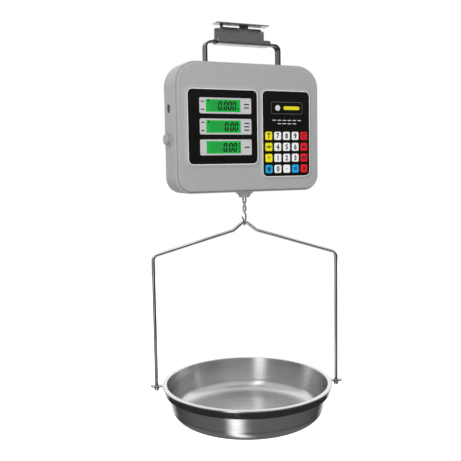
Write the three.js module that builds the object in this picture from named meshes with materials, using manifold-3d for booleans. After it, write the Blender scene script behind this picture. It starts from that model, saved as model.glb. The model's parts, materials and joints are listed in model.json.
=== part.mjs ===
// Hanging price-computing scale: a ceiling bracket, a grey electronic head carried by a flat steel
// strap, and a steel pan that hangs from the load cell by a twisted-wire hook, a wire bail and a hoop.
// Millimetres, +Z up, front of the scale towards -Y. The origin is the centre of the load line at the
// upper face of the ceiling bracket.
import * as THREE from "three";
import { mergeVertices } from "three/addons/utils/BufferGeometryUtils.js";
import Module from "manifold-3d";

const wasm = await Module();
wasm.setup();

// ---------- driving dimensions ----------
const GAP = 0.3; // free space between touching pieces
const STEEL = 2; // thickness of the bracket's sheet steel

const BRACKET = { width: 101, back: 12.5, front: -6, drop: 39.1, lipTop: -29.3, bend: 2.2 };
const TROUGH = { depth: 21, width: 106 }; // folded seat for the strap at the foot of the bracket
const WEB_WINDOWS = { spans: [[-33, 0], [18, 46]], floor: -15, corner: 3 };
const WEB_NOTCHES = { left: -39, right: 45, floor: -8 }; // cut-outs at the two upper corners of the web
const TABS = { spans: [[-33.5, 1.5], [17.2, 46.5]], top: -4.4, bottom: -20 };
const TAB_SHEET = { offset: 1.2, thickness: 1.5, root: 3 };
const SCREW_HOLE = { x: 30, y: 2, radius: 3.2 };
const STRAP = { halfSpan: 74, depth: 18, thickness: 3, bend: 10.5, foot: -236 };
const STRAP_TOP = -BRACKET.drop + STEEL + GAP + STRAP.thickness;
const RIVET = { z: -222, hole: 3.3, shank: 3, head: 5, headHeight: 2 };

const CASE = { width: 288, height: 232, top: -74, face: -33.6, seam: -24, back: 34, wall: 2.5 };
const CASE_CORNER = { high: 42, low: 28 };
const CASE_Z = CASE.top - CASE.height / 2; // height of the middle of the head
const CASE_BOTTOM = CASE.top - CASE.height;
const CASE_LEFT = -CASE.width / 2;
const COVER_SKIN = 2.4; // thickness of the front cover
const COVER_FLANGE = { y: -26.4, round: 2.4 }; // edge of the front cover that meets the rear cover
const COVER_RISE = { inset: 3.4, round: 2.3 }; // the raised middle of the front cover
const BACK_ROUND = 9;
const SNOUT = { bottom: -317.1, mouth: 7, throat: 15, tip: 9.75, root: 19.4 };
const CASE_SCREW = { x: 112, z: 84, boss: 6, bossFront: -14, bore: 2.3, recess: 4.4, recessDepth: 6 };
const SCREW = { shank: 1.9, head: 3.8, headHeight: 2.6, tip: 10 };
const SCREW_CROSS = { length: 2.2, width: 0.5, depth: 1.2 };
const DOOR = { width: 116, height: 82, z: -180, corner: 5, thickness: 2.2, ledge: 4, frameDepth: 4 };

const PAD = { height: 2.5, lip: 1.3 }; // raised bezel round each front panel
const DISPLAY = { x: -55.8, z: CASE_Z + 1, width: 133, height: 130, corner: 8.5, ramp: 7.5 };
const KEYPAD = { x: 71.4, z: CASE_Z - 10.7, width: 97, height: 154.5, corner: 8.5, ramp: 5 };
const PANEL = { front: -35.5, thickness: 1.6 };
const PANEL_BACK = PANEL.front + PANEL.thickness;
const BOARD = { front: CASE.face + COVER_SKIN + GAP, thickness: 1.6, margin: 6 };

const LCD = { x: -50.5, width: 101.3, height: 28.6, pitch: 36.55, z: CASE_Z + 1.7, corner: 3, recess: 0.4 };
const KEY = { width: 15.1, height: 15.7, corner: 2.6, pitchX: 18.5, pitchZ: 20.2, z: CASE_Z - 44.65 };
const KEY_PROUD = 0.7; // height of a key above the panel
const KEY_TRAVEL = 0.5;
const KEY_CROWN = { inset: 0.5, rise: 0.4 };
const KEY_ROWS = 4;
const KEY_COLUMNS = 5;
// Names and finishes of the keys, by column and then by row from the top.
const KEY_NAMES = [
  ["key_tare", "key_zero", "key_light", "key_print"],
  ["key_7", "key_4", "key_1", "key_0"],
  ["key_8", "key_5", "key_2", "key_point"],
  ["key_9", "key_6", "key_3", "key_change"],
  ["key_clear", "key_memory_1", "key_memory_2", "key_total"],
];
const KEY_FINISH = [
  ["yellow", "yellow", "yellow", "blue"],
  ["white", "white", "white", "white"],
  ["white", "white", "white", "white"],
  ["white", "white", "white", "blue"],
  ["red", "red", "red", "red"],
];

// Controls in the left wall.
const SWITCH = { y: 3, z: -155.4, proud: 0.8, inside: 14, wellDepth: 5.2, wellSpare: 0.6 };
const SWITCH_BEZEL = { depth: 9, height: 14 };
const SWITCH_BODY = { depth: 7.6, height: 12.4 };
const ROCKER = { depth: 5.4, height: 10, tilt: THREE.MathUtils.degToRad(5) }; // rests tipped one way
const SOCKET = { y: 6, z: -209.5, flange: 13, proud: 1.2, barrel: 7.5, bore: 4.5, pin: 1, inside: 12 };
const SOCKET_CAP = { radius: 9, length: 5.1, bore: 5.5, skin: 2.9 };

const BEAM = { floor: -238, sheet: 3, depth: 30, earTop: -208, hole: 8, boltHole: 2.9 };
const BEAM_FACE = { upper: BEAM.floor + BEAM.sheet / 2, lower: BEAM.floor - BEAM.sheet / 2 };
const CELL = { top: -243, size: 12.7, length: 80, freeEnd: -9, bore: 3.9, boreOffset: 8, boltHole: 2.8 };
const CELL_BOLTS = [48, 61]; // places of the two bolts along X
const CELL_SPACER = [41, 68];
const BOLT = { shank: 2.5, head: 4.2, headHeight: 5, socket: 2.2, socketDepth: 2.5 };
const MAIN_BOARD = { left: 18, right: 124, bottom: -285, top: -120, y: -20, thickness: 1.6, tall: 3 };
// The tall parts on the main board: left edge, foot, width and height.
const BOARD_BLOCKS = [
  [40, -150, 22, 22],
  [84, -160, 30, 12],
  [50, -200, 14, 26],
  [96, -215, 18, 18],
];
const BATTERY = { x: 50.5, front: -16, back: 30, bottom: -215, top: -145 };
const TERMINAL = { x: 30, half: 3, front: 2, thickness: 1, height: 7 };
const SWIVEL = { ringZ: -291, ringRadius: 7, wire: 2, shank: 3 };
const WASHER = { bottom: CELL.top + GAP, height: 1.2, radius: 6 };
const NUT = { bottom: WASHER.bottom + WASHER.height + GAP, height: 5, radius: 5.8, spare: 3 };

const HANG_YAW = THREE.MathUtils.degToRad(-21); // the hanging parts have turned on the swivel
const HOOK = { wire: 1.7, twist: 2.4, eye: 5, loop: 6.2, loopTurn: THREE.MathUtils.degToRad(18) };
const ROD = 3.15; // radius of the bail's wire
const BAIL = { apexZ: -363.6, kneeX: 22, kneeZ: -378.5, kneeSlope: 40, shoulderSlope: 16.7, legX: 173.3 };
const BAIL_BEND = { shoulder: 11, knee: 14 };
const HOOP = { inner: 156.2, thickness: 2, top: -671.4, height: 15 };
const EAR = { top: -673.4, thickness: 2.5, tip: 185, half: 6, hole: 4.1, overlap: 0.8 };
const LEG_BALL = 5; // radius of the formed ball at the foot of each leg
const BALL_Z = EAR.top - EAR.thickness - GAP - Math.sqrt(LEG_BALL ** 2 - EAR.hole ** 2);
const PAN = { rim: 162.5, flangeZ: -670.1, mouth: 153.8, depth: 67.5, sheet: 1, lip: 3 };
const PAN_WALL = { top: 154.9, low: 145.4, lowZ: -714.1, bendAcross: 33 };
const PAN_STEP = { radius: 92, height: 2, slope: 3 };

// ---------- materials ----------
function material(color, roughness, metalness) {
  return new THREE.MeshStandardMaterial({ color, roughness, metalness });
}

const MATERIALS = {
  casing: material(0xa9a9a9, 0.55, 0),
  panel: material(0x171714, 0.3, 0),
  lcd: material(0x28a046, 0.3, 0),
  steel: material(0x7a7a7a, 0.45, 0.9),
  polished: material(0xc9c9c9, 0.15, 1),
  brushed: material(0xb5b5b5, 0.35, 1),
  aluminium: material(0xc0c2c4, 0.4, 0.9),
  board: material(0x1f6b3a, 0.5, 0),
  battery: material(0x3a3a3c, 0.6, 0),
  black: material(0x101010, 0.4, 0),
  white: material(0xf4f4f4, 0.4, 0),
  yellow: material(0xffe600, 0.4, 0),
  red: material(0xf00018, 0.4, 0),
  blue: material(0x10a5e6, 0.4, 0),
};

// ---------- solids ----------
const scale = new THREE.Group();
const hanging = new THREE.Group();
hanging.rotation.z = HANG_YAW;
scale.add(hanging);

// Closed solid from a geometry whose triangles share their corners only in place.
function solid(geometry) {
  const bare = geometry.index ? geometry.toNonIndexed() : geometry.clone();
  bare.deleteAttribute("normal");
  bare.deleteAttribute("uv");
  const merged = mergeVertices(bare, 1e-4);
  return new wasm.Manifold(
    new wasm.Mesh({
      numProp: 3,
      vertProperties: new Float32Array(merged.attributes.position.array),
      triVerts: new Uint32Array(merged.index.array),
    }),
  );
}

function geometryOf(body) {
  const mesh = body.getMesh();
  const geometry = new THREE.BufferGeometry();
  geometry.setAttribute("position", new THREE.BufferAttribute(new Float32Array(mesh.vertProperties), 3));
  geometry.setIndex(new THREE.BufferAttribute(new Uint32Array(mesh.triVerts), 1));
  geometry.computeVertexNormals();
  return geometry;
}

function add(name, body, finish, group = scale) {
  const mesh = new THREE.Mesh(geometryOf(body), MATERIALS[finish]);
  mesh.name = name;
  group.add(mesh);
}

// Box between two corners.
function box([x0, y0, z0], [x1, y1, z1]) {
  const geometry = new THREE.BoxGeometry(x1 - x0, y1 - y0, z1 - z0);
  geometry.translate((x0 + x1) / 2, (y0 + y1) / 2, (z0 + z1) / 2);
  return solid(geometry);
}

// Cylinder between two values of one axis, centred on the other two.
function cylinder(axis, radius, from, to, [a, b], sides = 16) {
  const geometry = new THREE.CylinderGeometry(radius, radius, to - from, sides);
  const middle = (from + to) / 2;
  if (axis === "x") geometry.rotateZ(Math.PI / 2).translate(middle, a, b);
  if (axis === "y") geometry.translate(a, middle, b);
  if (axis === "z") geometry.rotateX(Math.PI / 2).translate(a, b, middle);
  return solid(geometry);
}

// Rounded rectangle about the origin; its two lower corners may have a radius of their own.
function roundedRect(width, height, radius, low = radius) {
  const shape = new THREE.Shape();
  const corners = [[1, 1, radius], [-1, 1, radius], [-1, -1, low], [1, -1, low]];
  corners.forEach(([sideX, sideY, r], i) => {
    const [x, y] = [sideX * (width / 2 - r), sideY * (height / 2 - r)];
    shape.absarc(x, y, r, (i * Math.PI) / 2, ((i + 1) * Math.PI) / 2);
  });
  shape.closePath();
  return shape;
}

// Upright slab: a shape in the X-Z plane, from the front face at y0 back to y1.
function slab(shape, y0, y1, x, z, steps = 2) {
  const options = { depth: y1 - y0, bevelEnabled: false, curveSegments: steps };
  const geometry = new THREE.ExtrudeGeometry(shape, options);
  geometry.rotateX(Math.PI / 2).translate(x, y1, z);
  return solid(geometry);
}

// Upright rounded rectangle with a face at y; the edge of that face is rounded or ramped, and the slab
// runs "depth" away from it, to the back when side is -1 (a front face) and to the front when it is 1.
function crownedSlab({ width, height, corner, low, y, depth, side, inset, rise, rounds, steps, x, z }) {
  const options = {
    depth,
    bevelSize: inset,
    bevelThickness: rise,
    bevelOffset: -inset,
    bevelSegments: rounds,
    curveSegments: steps,
  };
  const geometry = new THREE.ExtrudeGeometry(roundedRect(width, height, corner, low), options);
  const shift = side < 0 ? y + depth + rise : y - rise;
  geometry.rotateX(Math.PI / 2).translate(x, shift, z);
  const reach = CASE.width;
  const [y0, y1] = side < 0 ? [y - 1, y + depth] : [y - depth, y + 1];
  return solid(geometry).intersect(box([x - reach, y0, z - reach], [x + reach, y1, z + reach]));
}

// Closed outline of a folded sheet: a centre line with rounded folds, given thickness.
function foldedSheet(points, thickness, bend, folds = 5) {
  const line = roundedLine(points, bend, folds);
  const left = [];
  const right = [];
  line.forEach((point, i) => {
    const before = line[Math.max(i - 1, 0)];
    const after = line[Math.min(i + 1, line.length - 1)];
    const along = after.clone().sub(before).normalize();
    const across = new THREE.Vector2(-along.y, along.x).multiplyScalar(thickness / 2);
    left.push(point.clone().add(across));
    right.unshift(point.clone().sub(across));
  });
  return new THREE.Shape([...left, ...right]);
}

// Polyline whose corners are replaced by arcs of the given radius.
function roundedLine(points, radii, steps) {
  const line = [points[0].clone()];
  for (let i = 1; i < points.length - 1; i += 1) {
    const radius = Array.isArray(radii) ? radii[i - 1] : radii;
    const back = points[i - 1].clone().sub(points[i]).normalize();
    const ahead = points[i + 1].clone().sub(points[i]).normalize();
    const half = Math.acos(THREE.MathUtils.clamp(back.dot(ahead), -1, 1)) / 2;
    const start = points[i].clone().addScaledVector(back, radius / Math.tan(half));
    const middle = back.clone().add(ahead).normalize();
    const centre = points[i].clone().addScaledVector(middle, radius / Math.sin(half));
    const turn = Math.PI - 2 * half;
    const side = Math.sign(back.x * ahead.y - back.y * ahead.x);
    for (let k = 0; k <= steps; k += 1) {
      line.push(start.clone().rotateAround(centre, (-side * turn * k) / steps));
    }
  }
  line.push(points[points.length - 1].clone());
  return line;
}

// Round wire along a list of points.
function wire(points, radius, sides, steps) {
  const path = new THREE.CatmullRomCurve3(points, false, "centripetal");
  const section = new THREE.Shape();
  section.absarc(0, 0, radius, 0, 2 * Math.PI);
  const options = { steps, extrudePath: path, bevelEnabled: false, curveSegments: sides };
  return solid(new THREE.ExtrudeGeometry(section, options));
}

// Round body about the Z axis through (x, y), from a list of [radius, z].
function turned(profile, segments, x = 0, y = 0) {
  const outline = profile.map(([radius, z]) => new THREE.Vector2(radius, z));
  const geometry = new THREE.LatheGeometry(outline, segments).rotateX(Math.PI / 2).translate(x, y, 0);
  return solid(geometry);
}

// ---------- ceiling bracket ----------
function ceilingBracket() {
  const { width, back, front, drop, lipTop, bend } = BRACKET;
  const webY = back - STEEL / 2;
  const lipY = webY - TROUGH.depth - STEEL;
  const fold = [
    new THREE.Vector2(front, -STEEL / 2),
    new THREE.Vector2(webY, -STEEL / 2),
    new THREE.Vector2(webY, -drop + STEEL / 2),
    new THREE.Vector2(lipY, -drop + STEEL / 2),
    new THREE.Vector2(lipY, lipTop),
  ];
  // The outline is drawn in (Y, Z) and pulled along X.
  const options = { depth: TROUGH.width, bevelEnabled: false };
  const sheet = new THREE.ExtrudeGeometry(foldedSheet(fold, STEEL, bend), options);
  sheet.rotateX(Math.PI / 2).rotateZ(Math.PI / 2).translate(-TROUGH.width / 2, 0, 0);
  const shoulder = lipTop + 1;
  const ahead = lipY - STEEL;
  const under = -STEEL - GAP;
  let body = solid(sheet)
    .subtract(box([-TROUGH.width, ahead, shoulder], [-width / 2, back + 1, under]))
    .subtract(box([width / 2, ahead, shoulder], [TROUGH.width, back + 1, under]));
  // Windows and notches in the web leave three necks under the top plate.
  const through = [back - STEEL - 1, back + 1];
  for (const [x0, x1] of WEB_WINDOWS.spans) {
    const outline = roundedRect(x1 - x0, 2 * (-STEEL - WEB_WINDOWS.floor), WEB_WINDOWS.corner);
    const opening = slab(outline, ...through, (x0 + x1) / 2, -STEEL);
    body = body.subtract(opening.intersect(box([x0, 0, WEB_WINDOWS.floor], [x1, through[1], under])));
  }
  const { left, right, floor } = WEB_NOTCHES;
  body = body
    .subtract(box([-width / 2 - 1, through[0], floor], [left, through[1], under]))
    .subtract(box([right, through[0], floor], [width / 2 + 1, through[1], under]));
  // Two raised tabs behind the windows.
  const tabY = back + TAB_SHEET.offset;
  for (const [x0, x1] of TABS.spans) {
    body = body
      .add(box([x0, tabY, TABS.bottom], [x1, tabY + TAB_SHEET.thickness, TABS.top]))
      .add(box([x0, back - 1, TABS.bottom], [x1, tabY + 1, TABS.bottom + TAB_SHEET.root]));
  }
  for (const x of [-SCREW_HOLE.x, SCREW_HOLE.x]) {
    body = body.subtract(cylinder("z", SCREW_HOLE.radius, -STEEL - 1, 1, [x, SCREW_HOLE.y]));
  }
  add("ceiling_bracket", body, "steel");
}

// ---------- strap, beam and load cell ----------
function carryStrap() {
  const z = STRAP_TOP - STRAP.thickness / 2;
  const fold = [
    new THREE.Vector2(-STRAP.halfSpan, STRAP.foot),
    new THREE.Vector2(-STRAP.halfSpan, z),
    new THREE.Vector2(STRAP.halfSpan, z),
    new THREE.Vector2(STRAP.halfSpan, STRAP.foot),
  ];
  const outline = foldedSheet(fold, STRAP.thickness, STRAP.bend, 7);
  let body = slab(outline, -STRAP.depth / 2, STRAP.depth / 2, 0, 0);
  for (const x of [-STRAP.halfSpan, STRAP.halfSpan]) {
    const reach = STRAP.thickness;
    body = body.subtract(cylinder("x", RIVET.hole, x - reach, x + reach, [0, RIVET.z]));
  }
  add("carry_strap", body, "steel");
}

function crossBeam() {
  const { floor, sheet, depth, earTop, hole, boltHole } = BEAM;
  const inner = STRAP.halfSpan - STRAP.thickness / 2 - GAP;
  const earX = inner - sheet / 2;
  const fold = [
    new THREE.Vector2(-earX, earTop),
    new THREE.Vector2(-earX, floor),
    new THREE.Vector2(earX, floor),
    new THREE.Vector2(earX, earTop),
  ];
  let body = slab(foldedSheet(fold, sheet, sheet), -depth / 2, depth / 2, 0, 0);
  const through = [floor - sheet, floor + sheet];
  body = body.subtract(cylinder("z", hole, ...through, [0, 0]));
  for (const x of CELL_BOLTS) {
    body = body.subtract(cylinder("z", boltHole, ...through, [x, 0]));
  }
  for (const x of [-earX, earX]) {
    body = body.subtract(cylinder("x", RIVET.hole, x - sheet, x + sheet, [0, RIVET.z]));
  }
  add("cross_beam", body, "steel");

  const near = inner - sheet - GAP;
  const far = STRAP.halfSpan + STRAP.thickness / 2 + GAP;
  for (const [name, x0, x1] of [["strap_rivet_left", -far, -near], ["strap_rivet_right", near, far]]) {
    const rivet = cylinder("x", RIVET.shank, x0 - 1, x1 + 1, [0, RIVET.z])
      .add(cylinder("x", RIVET.head, x0 - RIVET.headHeight, x0, [0, RIVET.z]))
      .add(cylinder("x", RIVET.head, x1, x1 + RIVET.headHeight, [0, RIVET.z]));
    add(name, rivet, "steel");
  }
}

function loadCell() {
  const { top, size, length, freeEnd, bore, boreOffset, boltHole } = CELL;
  const bottom = top - size;
  const half = size / 2;
  const middle = freeEnd + length / 2;
  const z = top - half;
  let body = box([freeEnd, -half, bottom], [freeEnd + length, half, top]);
  const [x0, x1] = [middle - boreOffset, middle + boreOffset];
  for (const x of [x0, x1]) {
    body = body.subtract(cylinder("y", bore, -size, size, [x, z]));
  }
  body = body.subtract(box([x0, -size, z - 1], [x1, size, z + 1]));
  body = body.subtract(cylinder("z", SWIVEL.shank + GAP, bottom - 1, top + 1, [0, 0]));
  let spacer = box([CELL_SPACER[0], -half, top + GAP], [CELL_SPACER[1], half, BEAM_FACE.lower - GAP]);
  for (const x of CELL_BOLTS) {
    body = body.subtract(cylinder("z", boltHole, bottom - 1, top + 1, [x, 0]));
    spacer = spacer.subtract(cylinder("z", boltHole, top - 1, BEAM_FACE.lower + 1, [x, 0]));
  }
  add("load_cell", body, "aluminium");
  add("cell_spacer", spacer, "steel");

  const seat = BEAM_FACE.upper + GAP;
  const crown = seat + BOLT.headHeight;
  for (const [name, x] of [["cell_bolt_inner", CELL_BOLTS[0]], ["cell_bolt_outer", CELL_BOLTS[1]]]) {
    const bolt = cylinder("z", BOLT.shank, bottom + 1, seat + 1, [x, 0])
      .add(cylinder("z", BOLT.head, seat, crown, [x, 0]))
      .subtract(cylinder("z", BOLT.socket, crown - BOLT.socketDepth, crown + 1, [x, 0], 6));
    add(name, bolt, "steel");
  }
}

// ---------- casing ----------
// Slab with the outline of the casing, "margin" in from it, and one rounded face.
function caseSlab(margin, options) {
  return crownedSlab({
    width: CASE.width - 2 * margin,
    height: CASE.height - 2 * margin,
    corner: CASE_CORNER.high - margin,
    low: CASE_CORNER.low - margin,
    steps: 3,
    x: 0,
    z: CASE_Z,
    ...options,
  });
}

function panelPad(panel) {
  const grow = 2 * (PAD.lip + panel.ramp);
  return crownedSlab({
    width: panel.width + grow,
    height: panel.height + grow,
    corner: panel.corner + PAD.lip + panel.ramp,
    y: CASE.face - PAD.height,
    depth: PAD.height + 1,
    side: -1,
    inset: panel.ramp,
    rise: PAD.height,
    rounds: 2,
    steps: 2,
    x: panel.x,
    z: panel.z,
  });
}

function frontCover() {
  const { inset, round } = COVER_RISE;
  const flange = COVER_FLANGE.round;
  const low = { y: COVER_FLANGE.y, depth: CASE.seam - COVER_FLANGE.y, inset: flange, rise: flange };
  const high = { y: CASE.face, depth: CASE.seam - CASE.face, inset: round, rise: round };
  let body = caseSlab(0, { ...low, side: -1, rounds: 2 })
    .add(caseSlab(inset, { ...high, side: -1, rounds: 2 }))
    .add(panelPad(DISPLAY))
    .add(panelPad(KEYPAD));
  const margin = CASE.wall + inset;
  const room = roundedRect(
    CASE.width - 2 * margin,
    CASE.height - 2 * margin,
    CASE_CORNER.high - margin,
    CASE_CORNER.low - margin,
  );
  body = body.subtract(slab(room, CASE.face + COVER_SKIN, CASE.seam + 1, 0, CASE_Z, 3));
  const outside = CASE.face - 2 * PAD.height;
  for (const panel of [DISPLAY, KEYPAD]) {
    const outline = roundedRect(panel.width + 2 * GAP, panel.height + 2 * GAP, panel.corner + GAP);
    body = body.subtract(slab(outline, outside, PANEL_BACK + GAP, panel.x, panel.z));
  }
  const spare = 4; // the openings behind the panels are this much larger than what they let through
  const lcdSpan = 2 * LCD.pitch + LCD.height;
  const lcdOpening = roundedRect(LCD.width + spare, lcdSpan + spare, LCD.corner);
  const keysWide = KEY.pitchX * (KEY_COLUMNS - 1) + KEY.width;
  const keysHigh = KEY.pitchZ * (KEY_ROWS - 1) + KEY.height;
  const keyOpening = roundedRect(keysWide + spare, keysHigh + spare, KEY.corner);
  body = body
    .subtract(slab(lcdOpening, outside, CASE.seam, LCD.x, LCD.z))
    .subtract(slab(keyOpening, outside, CASE.seam, KEYPAD.x, KEY.z));
  add("front_cover", body, "casing");
}

function rearShell() {
  const seam = CASE.seam + GAP;
  const inside = CASE.back - CASE.wall;
  const outer = { y: CASE.back, depth: CASE.back - seam, side: 1, inset: BACK_ROUND, rise: BACK_ROUND };
  const round = BACK_ROUND - 1;
  const room = { y: inside, depth: inside - seam + 1, side: 1, inset: round, rise: round, rounds: 2 };
  const { bottom, mouth, throat, tip, root } = SNOUT;
  const flare = [[0, bottom], [tip, bottom]];
  for (let i = 1; i <= 4; i += 1) {
    const t = i / 4;
    // The flare starts steeply at the mouth and opens out towards the casing.
    const radius = THREE.MathUtils.lerp(tip, root, t * THREE.MathUtils.lerp(0.2, 1, t));
    flare.push([radius, THREE.MathUtils.lerp(bottom, CASE_BOTTOM, t)]);
  }
  flare.push([root, CASE_BOTTOM + 2], [0, CASE_BOTTOM + 2]);
  const ceiling = CASE_BOTTOM + CASE.wall + 1;
  const bore = [[0, bottom - 1], [mouth, bottom - 1], [mouth, bottom + 2], [throat, ceiling], [0, ceiling]];
  return caseSlab(0, { ...outer, rounds: 3 })
    .add(turned(flare, 20))
    .subtract(caseSlab(CASE.wall, room))
    .subtract(turned(bore, 20));
}

function caseScrews() {
  const { x, z } = CASE_SCREW;
  return [
    ["case_screw_left_low", -x, CASE_Z - z],
    ["case_screw_left_high", -x, CASE_Z + z],
    ["case_screw_right_low", x, CASE_Z - z],
    ["case_screw_right_high", x, CASE_Z + z],
  ];
}

function rearCover() {
  let body = rearShell();
  const { boss, bossFront, bore, recess, recessDepth } = CASE_SCREW;
  for (const [, x, z] of caseScrews()) {
    body = body
      .add(cylinder("y", boss, bossFront, CASE.back - 1, [x, z]))
      .subtract(cylinder("y", bore, bossFront - 1, CASE.back, [x, z], 8))
      .subtract(cylinder("y", recess, CASE.back - recessDepth, CASE.back + 1, [x, z]));
  }
  // Slots for the strap's legs, holes for the switch and the socket, and the battery opening.
  const [halfX, halfY] = [STRAP.thickness / 2 + GAP, STRAP.depth / 2 + GAP];
  for (const x of [-STRAP.halfSpan, STRAP.halfSpan]) {
    body = body.subtract(box([x - halfX, -halfY, CASE.top - 5], [x + halfX, halfY, CASE.top + 1]));
  }
  const wall = [CASE_LEFT - 1, CASE_LEFT + 5];
  const [holeY, holeZ] = [SWITCH_BODY.depth / 2 + GAP, SWITCH_BODY.height / 2 + GAP];
  const { y, z } = SWITCH;
  body = body
    .subtract(box([wall[0], y - holeY, z - holeZ], [wall[1], y + holeY, z + holeZ]))
    .subtract(cylinder("x", SOCKET.barrel + GAP, ...wall, [SOCKET.y, SOCKET.z]));
  const { width, height, corner, thickness, ledge, frameDepth } = DOOR;
  const opening = roundedRect(width + 2 * GAP, height + 2 * GAP, corner + GAP);
  const inner = roundedRect(width - 2 * ledge, height - 2 * ledge, corner);
  const frame = roundedRect(width + 2 * ledge, height + 2 * ledge, corner + ledge);
  const outside = CASE.back + 1;
  body = body
    .add(slab(frame, CASE.back - 1 - frameDepth, CASE.back - 1, 0, DOOR.z))
    .subtract(slab(opening, CASE.back - thickness - GAP, outside, 0, DOOR.z))
    .subtract(slab(inner, CASE.back - 2 * frameDepth, outside, 0, DOOR.z));
  add("rear_cover", body, "casing");

  const door = roundedRect(width, height, corner);
  add("battery_door", slab(door, CASE.back - thickness, CASE.back, 0, DOOR.z), "casing");
  const seat = CASE.back - recessDepth + GAP;
  const crown = seat + SCREW.headHeight;
  const [long, thin, slotFloor] = [SCREW_CROSS.length, SCREW_CROSS.width, crown - SCREW_CROSS.depth];
  for (const [name, sx, sz] of caseScrews()) {
    const screw = cylinder("y", SCREW.shank, SCREW.tip, seat + 1, [sx, sz], 8)
      .add(cylinder("y", SCREW.head, seat, crown, [sx, sz], 12))
      .subtract(box([sx - long, slotFloor, sz - thin], [sx + long, crown + 1, sz + thin]))
      .subtract(box([sx - thin, slotFloor, sz - long], [sx + thin, crown + 1, sz + long]));
    add(name, screw, "steel");
  }
}

// ---------- display and keypad ----------
function lcdCentres() {
  return [1, 0, -1].map((row) => LCD.z + row * LCD.pitch);
}

function displayGroup() {
  let panel = roundedRect(DISPLAY.width, DISPLAY.height, DISPLAY.corner);
  panel = slab(panel, PANEL.front, PANEL_BACK, DISPLAY.x, DISPLAY.z);
  const opening = roundedRect(LCD.width, LCD.height, LCD.corner);
  const glass = roundedRect(LCD.width - 2 * GAP, LCD.height - 2 * GAP, LCD.corner - GAP);
  const names = ["weight_lcd", "unit_price_lcd", "total_lcd"];
  lcdCentres().forEach((z, i) => {
    panel = panel.subtract(slab(opening, PANEL.front - 1, PANEL_BACK + 1, LCD.x, z));
    add(names[i], slab(glass, PANEL.front + LCD.recess, BOARD.front - GAP, LCD.x, z), "lcd");
  });
  add("display_panel", panel, "panel");
  const [halfX, halfZ] = [LCD.width / 2 + BOARD.margin, LCD.pitch + LCD.height / 2 + BOARD.margin];
  const boardBack = BOARD.front + BOARD.thickness;
  const board = box([LCD.x - halfX, BOARD.front, LCD.z - halfZ], [LCD.x + halfX, boardBack, LCD.z + halfZ]);
  add("display_board", board, "board");
}

function keyCentre(column, row) {
  const x = KEYPAD.x + (column - (KEY_COLUMNS - 1) / 2) * KEY.pitchX;
  const z = KEY.z + ((KEY_ROWS - 1) / 2 - row) * KEY.pitchZ;
  return [x, z];
}

function keypadGroup() {
  let panel = roundedRect(KEYPAD.width, KEYPAD.height, KEYPAD.corner);
  panel = slab(panel, PANEL.front, PANEL_BACK, KEYPAD.x, KEYPAD.z);
  const window = roundedRect(KEY.width + 2 * GAP, KEY.height + 2 * GAP, KEY.corner + GAP);
  const front = PANEL.front - KEY_PROUD;
  const depth = BOARD.front - KEY_TRAVEL - GAP - front;
  const shape = { width: KEY.width, height: KEY.height, corner: KEY.corner, ...KEY_CROWN };
  for (let column = 0; column < KEY_COLUMNS; column += 1) {
    for (let row = 0; row < KEY_ROWS; row += 1) {
      const [x, z] = keyCentre(column, row);
      panel = panel.subtract(slab(window, PANEL.front - 1, PANEL_BACK + 1, x, z, 1));
      const key = crownedSlab({ ...shape, y: front, depth, side: -1, rounds: 1, steps: 1, x, z });
      add(KEY_NAMES[column][row], key, KEY_FINISH[column][row]);
    }
  }
  add("keypad_panel", panel, "panel");
  const halfX = KEYPAD.width / 2 - 1;
  const halfZ = (KEY.pitchZ * (KEY_ROWS - 1) + KEY.height) / 2 + BOARD.margin;
  const boardBack = BOARD.front + BOARD.thickness;
  const corner = [KEYPAD.x + halfX, boardBack, KEY.z + halfZ];
  const board = box([KEYPAD.x - halfX, BOARD.front, KEY.z - halfZ], corner);
  add("keypad_board", board, "board");
}

// ---------- electronics ----------
function electronics() {
  const { left, right, bottom, top, y, thickness, tall } = MAIN_BOARD;
  let board = box([left, y, bottom], [right, y + thickness, top]);
  for (const [x, z, width, height] of BOARD_BLOCKS) {
    board = board.add(box([x, y - tall, z], [x + width, y + 1, z + height]));
  }
  add("main_board", board, "board");
  let battery = box([-BATTERY.x, BATTERY.front, BATTERY.bottom], [BATTERY.x, BATTERY.back, BATTERY.top]);
  const { half, front, height } = TERMINAL;
  for (const x of [-TERMINAL.x, TERMINAL.x]) {
    const tip = [x + half, front + TERMINAL.thickness, BATTERY.top + height];
    battery = battery.add(box([x - half, front, BATTERY.top - 1], tip));
  }
  add("battery", battery, "battery");
}

// ---------- switch and charging socket ----------
function powerSwitch() {
  const { y, z, proud, inside, wellDepth, wellSpare } = SWITCH;
  const flange = CASE_LEFT - GAP;
  const face = flange - proud;
  // Block about the middle of the switch, from x0 to x1.
  const block = (x0, x1, depth, height) =>
    box([x0, y - depth / 2, z - height / 2], [x1, y + depth / 2, z + height / 2]);
  const well = [ROCKER.depth + 2 * GAP, ROCKER.height + 2 * wellSpare];
  const body = block(face, flange, SWITCH_BEZEL.depth, SWITCH_BEZEL.height)
    .add(block(face, CASE_LEFT + inside, SWITCH_BODY.depth, SWITCH_BODY.height))
    .subtract(block(face - 1, face + wellDepth, ...well));
  add("switch_body", body, "black");

  // The rocker is a shallow V that tips about a pin along Y; its outline is drawn in (Z, -X).
  const half = ROCKER.height / 2;
  const outline = new THREE.Shape([
    new THREE.Vector2(half, 0.5),
    new THREE.Vector2(0, 0.1),
    new THREE.Vector2(-half, 0.5),
    new THREE.Vector2(0.6 - half, -1),
    new THREE.Vector2(0, -3),
    new THREE.Vector2(half - 0.6, -1),
  ]);
  const rocker = new THREE.ExtrudeGeometry(outline, { depth: ROCKER.depth, bevelEnabled: false });
  rocker.rotateZ(ROCKER.tilt).rotateX(Math.PI / 2).rotateY(-Math.PI / 2);
  add("power_rocker", solid(rocker.translate(face, y + ROCKER.depth / 2, z)), "black");
}

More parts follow.
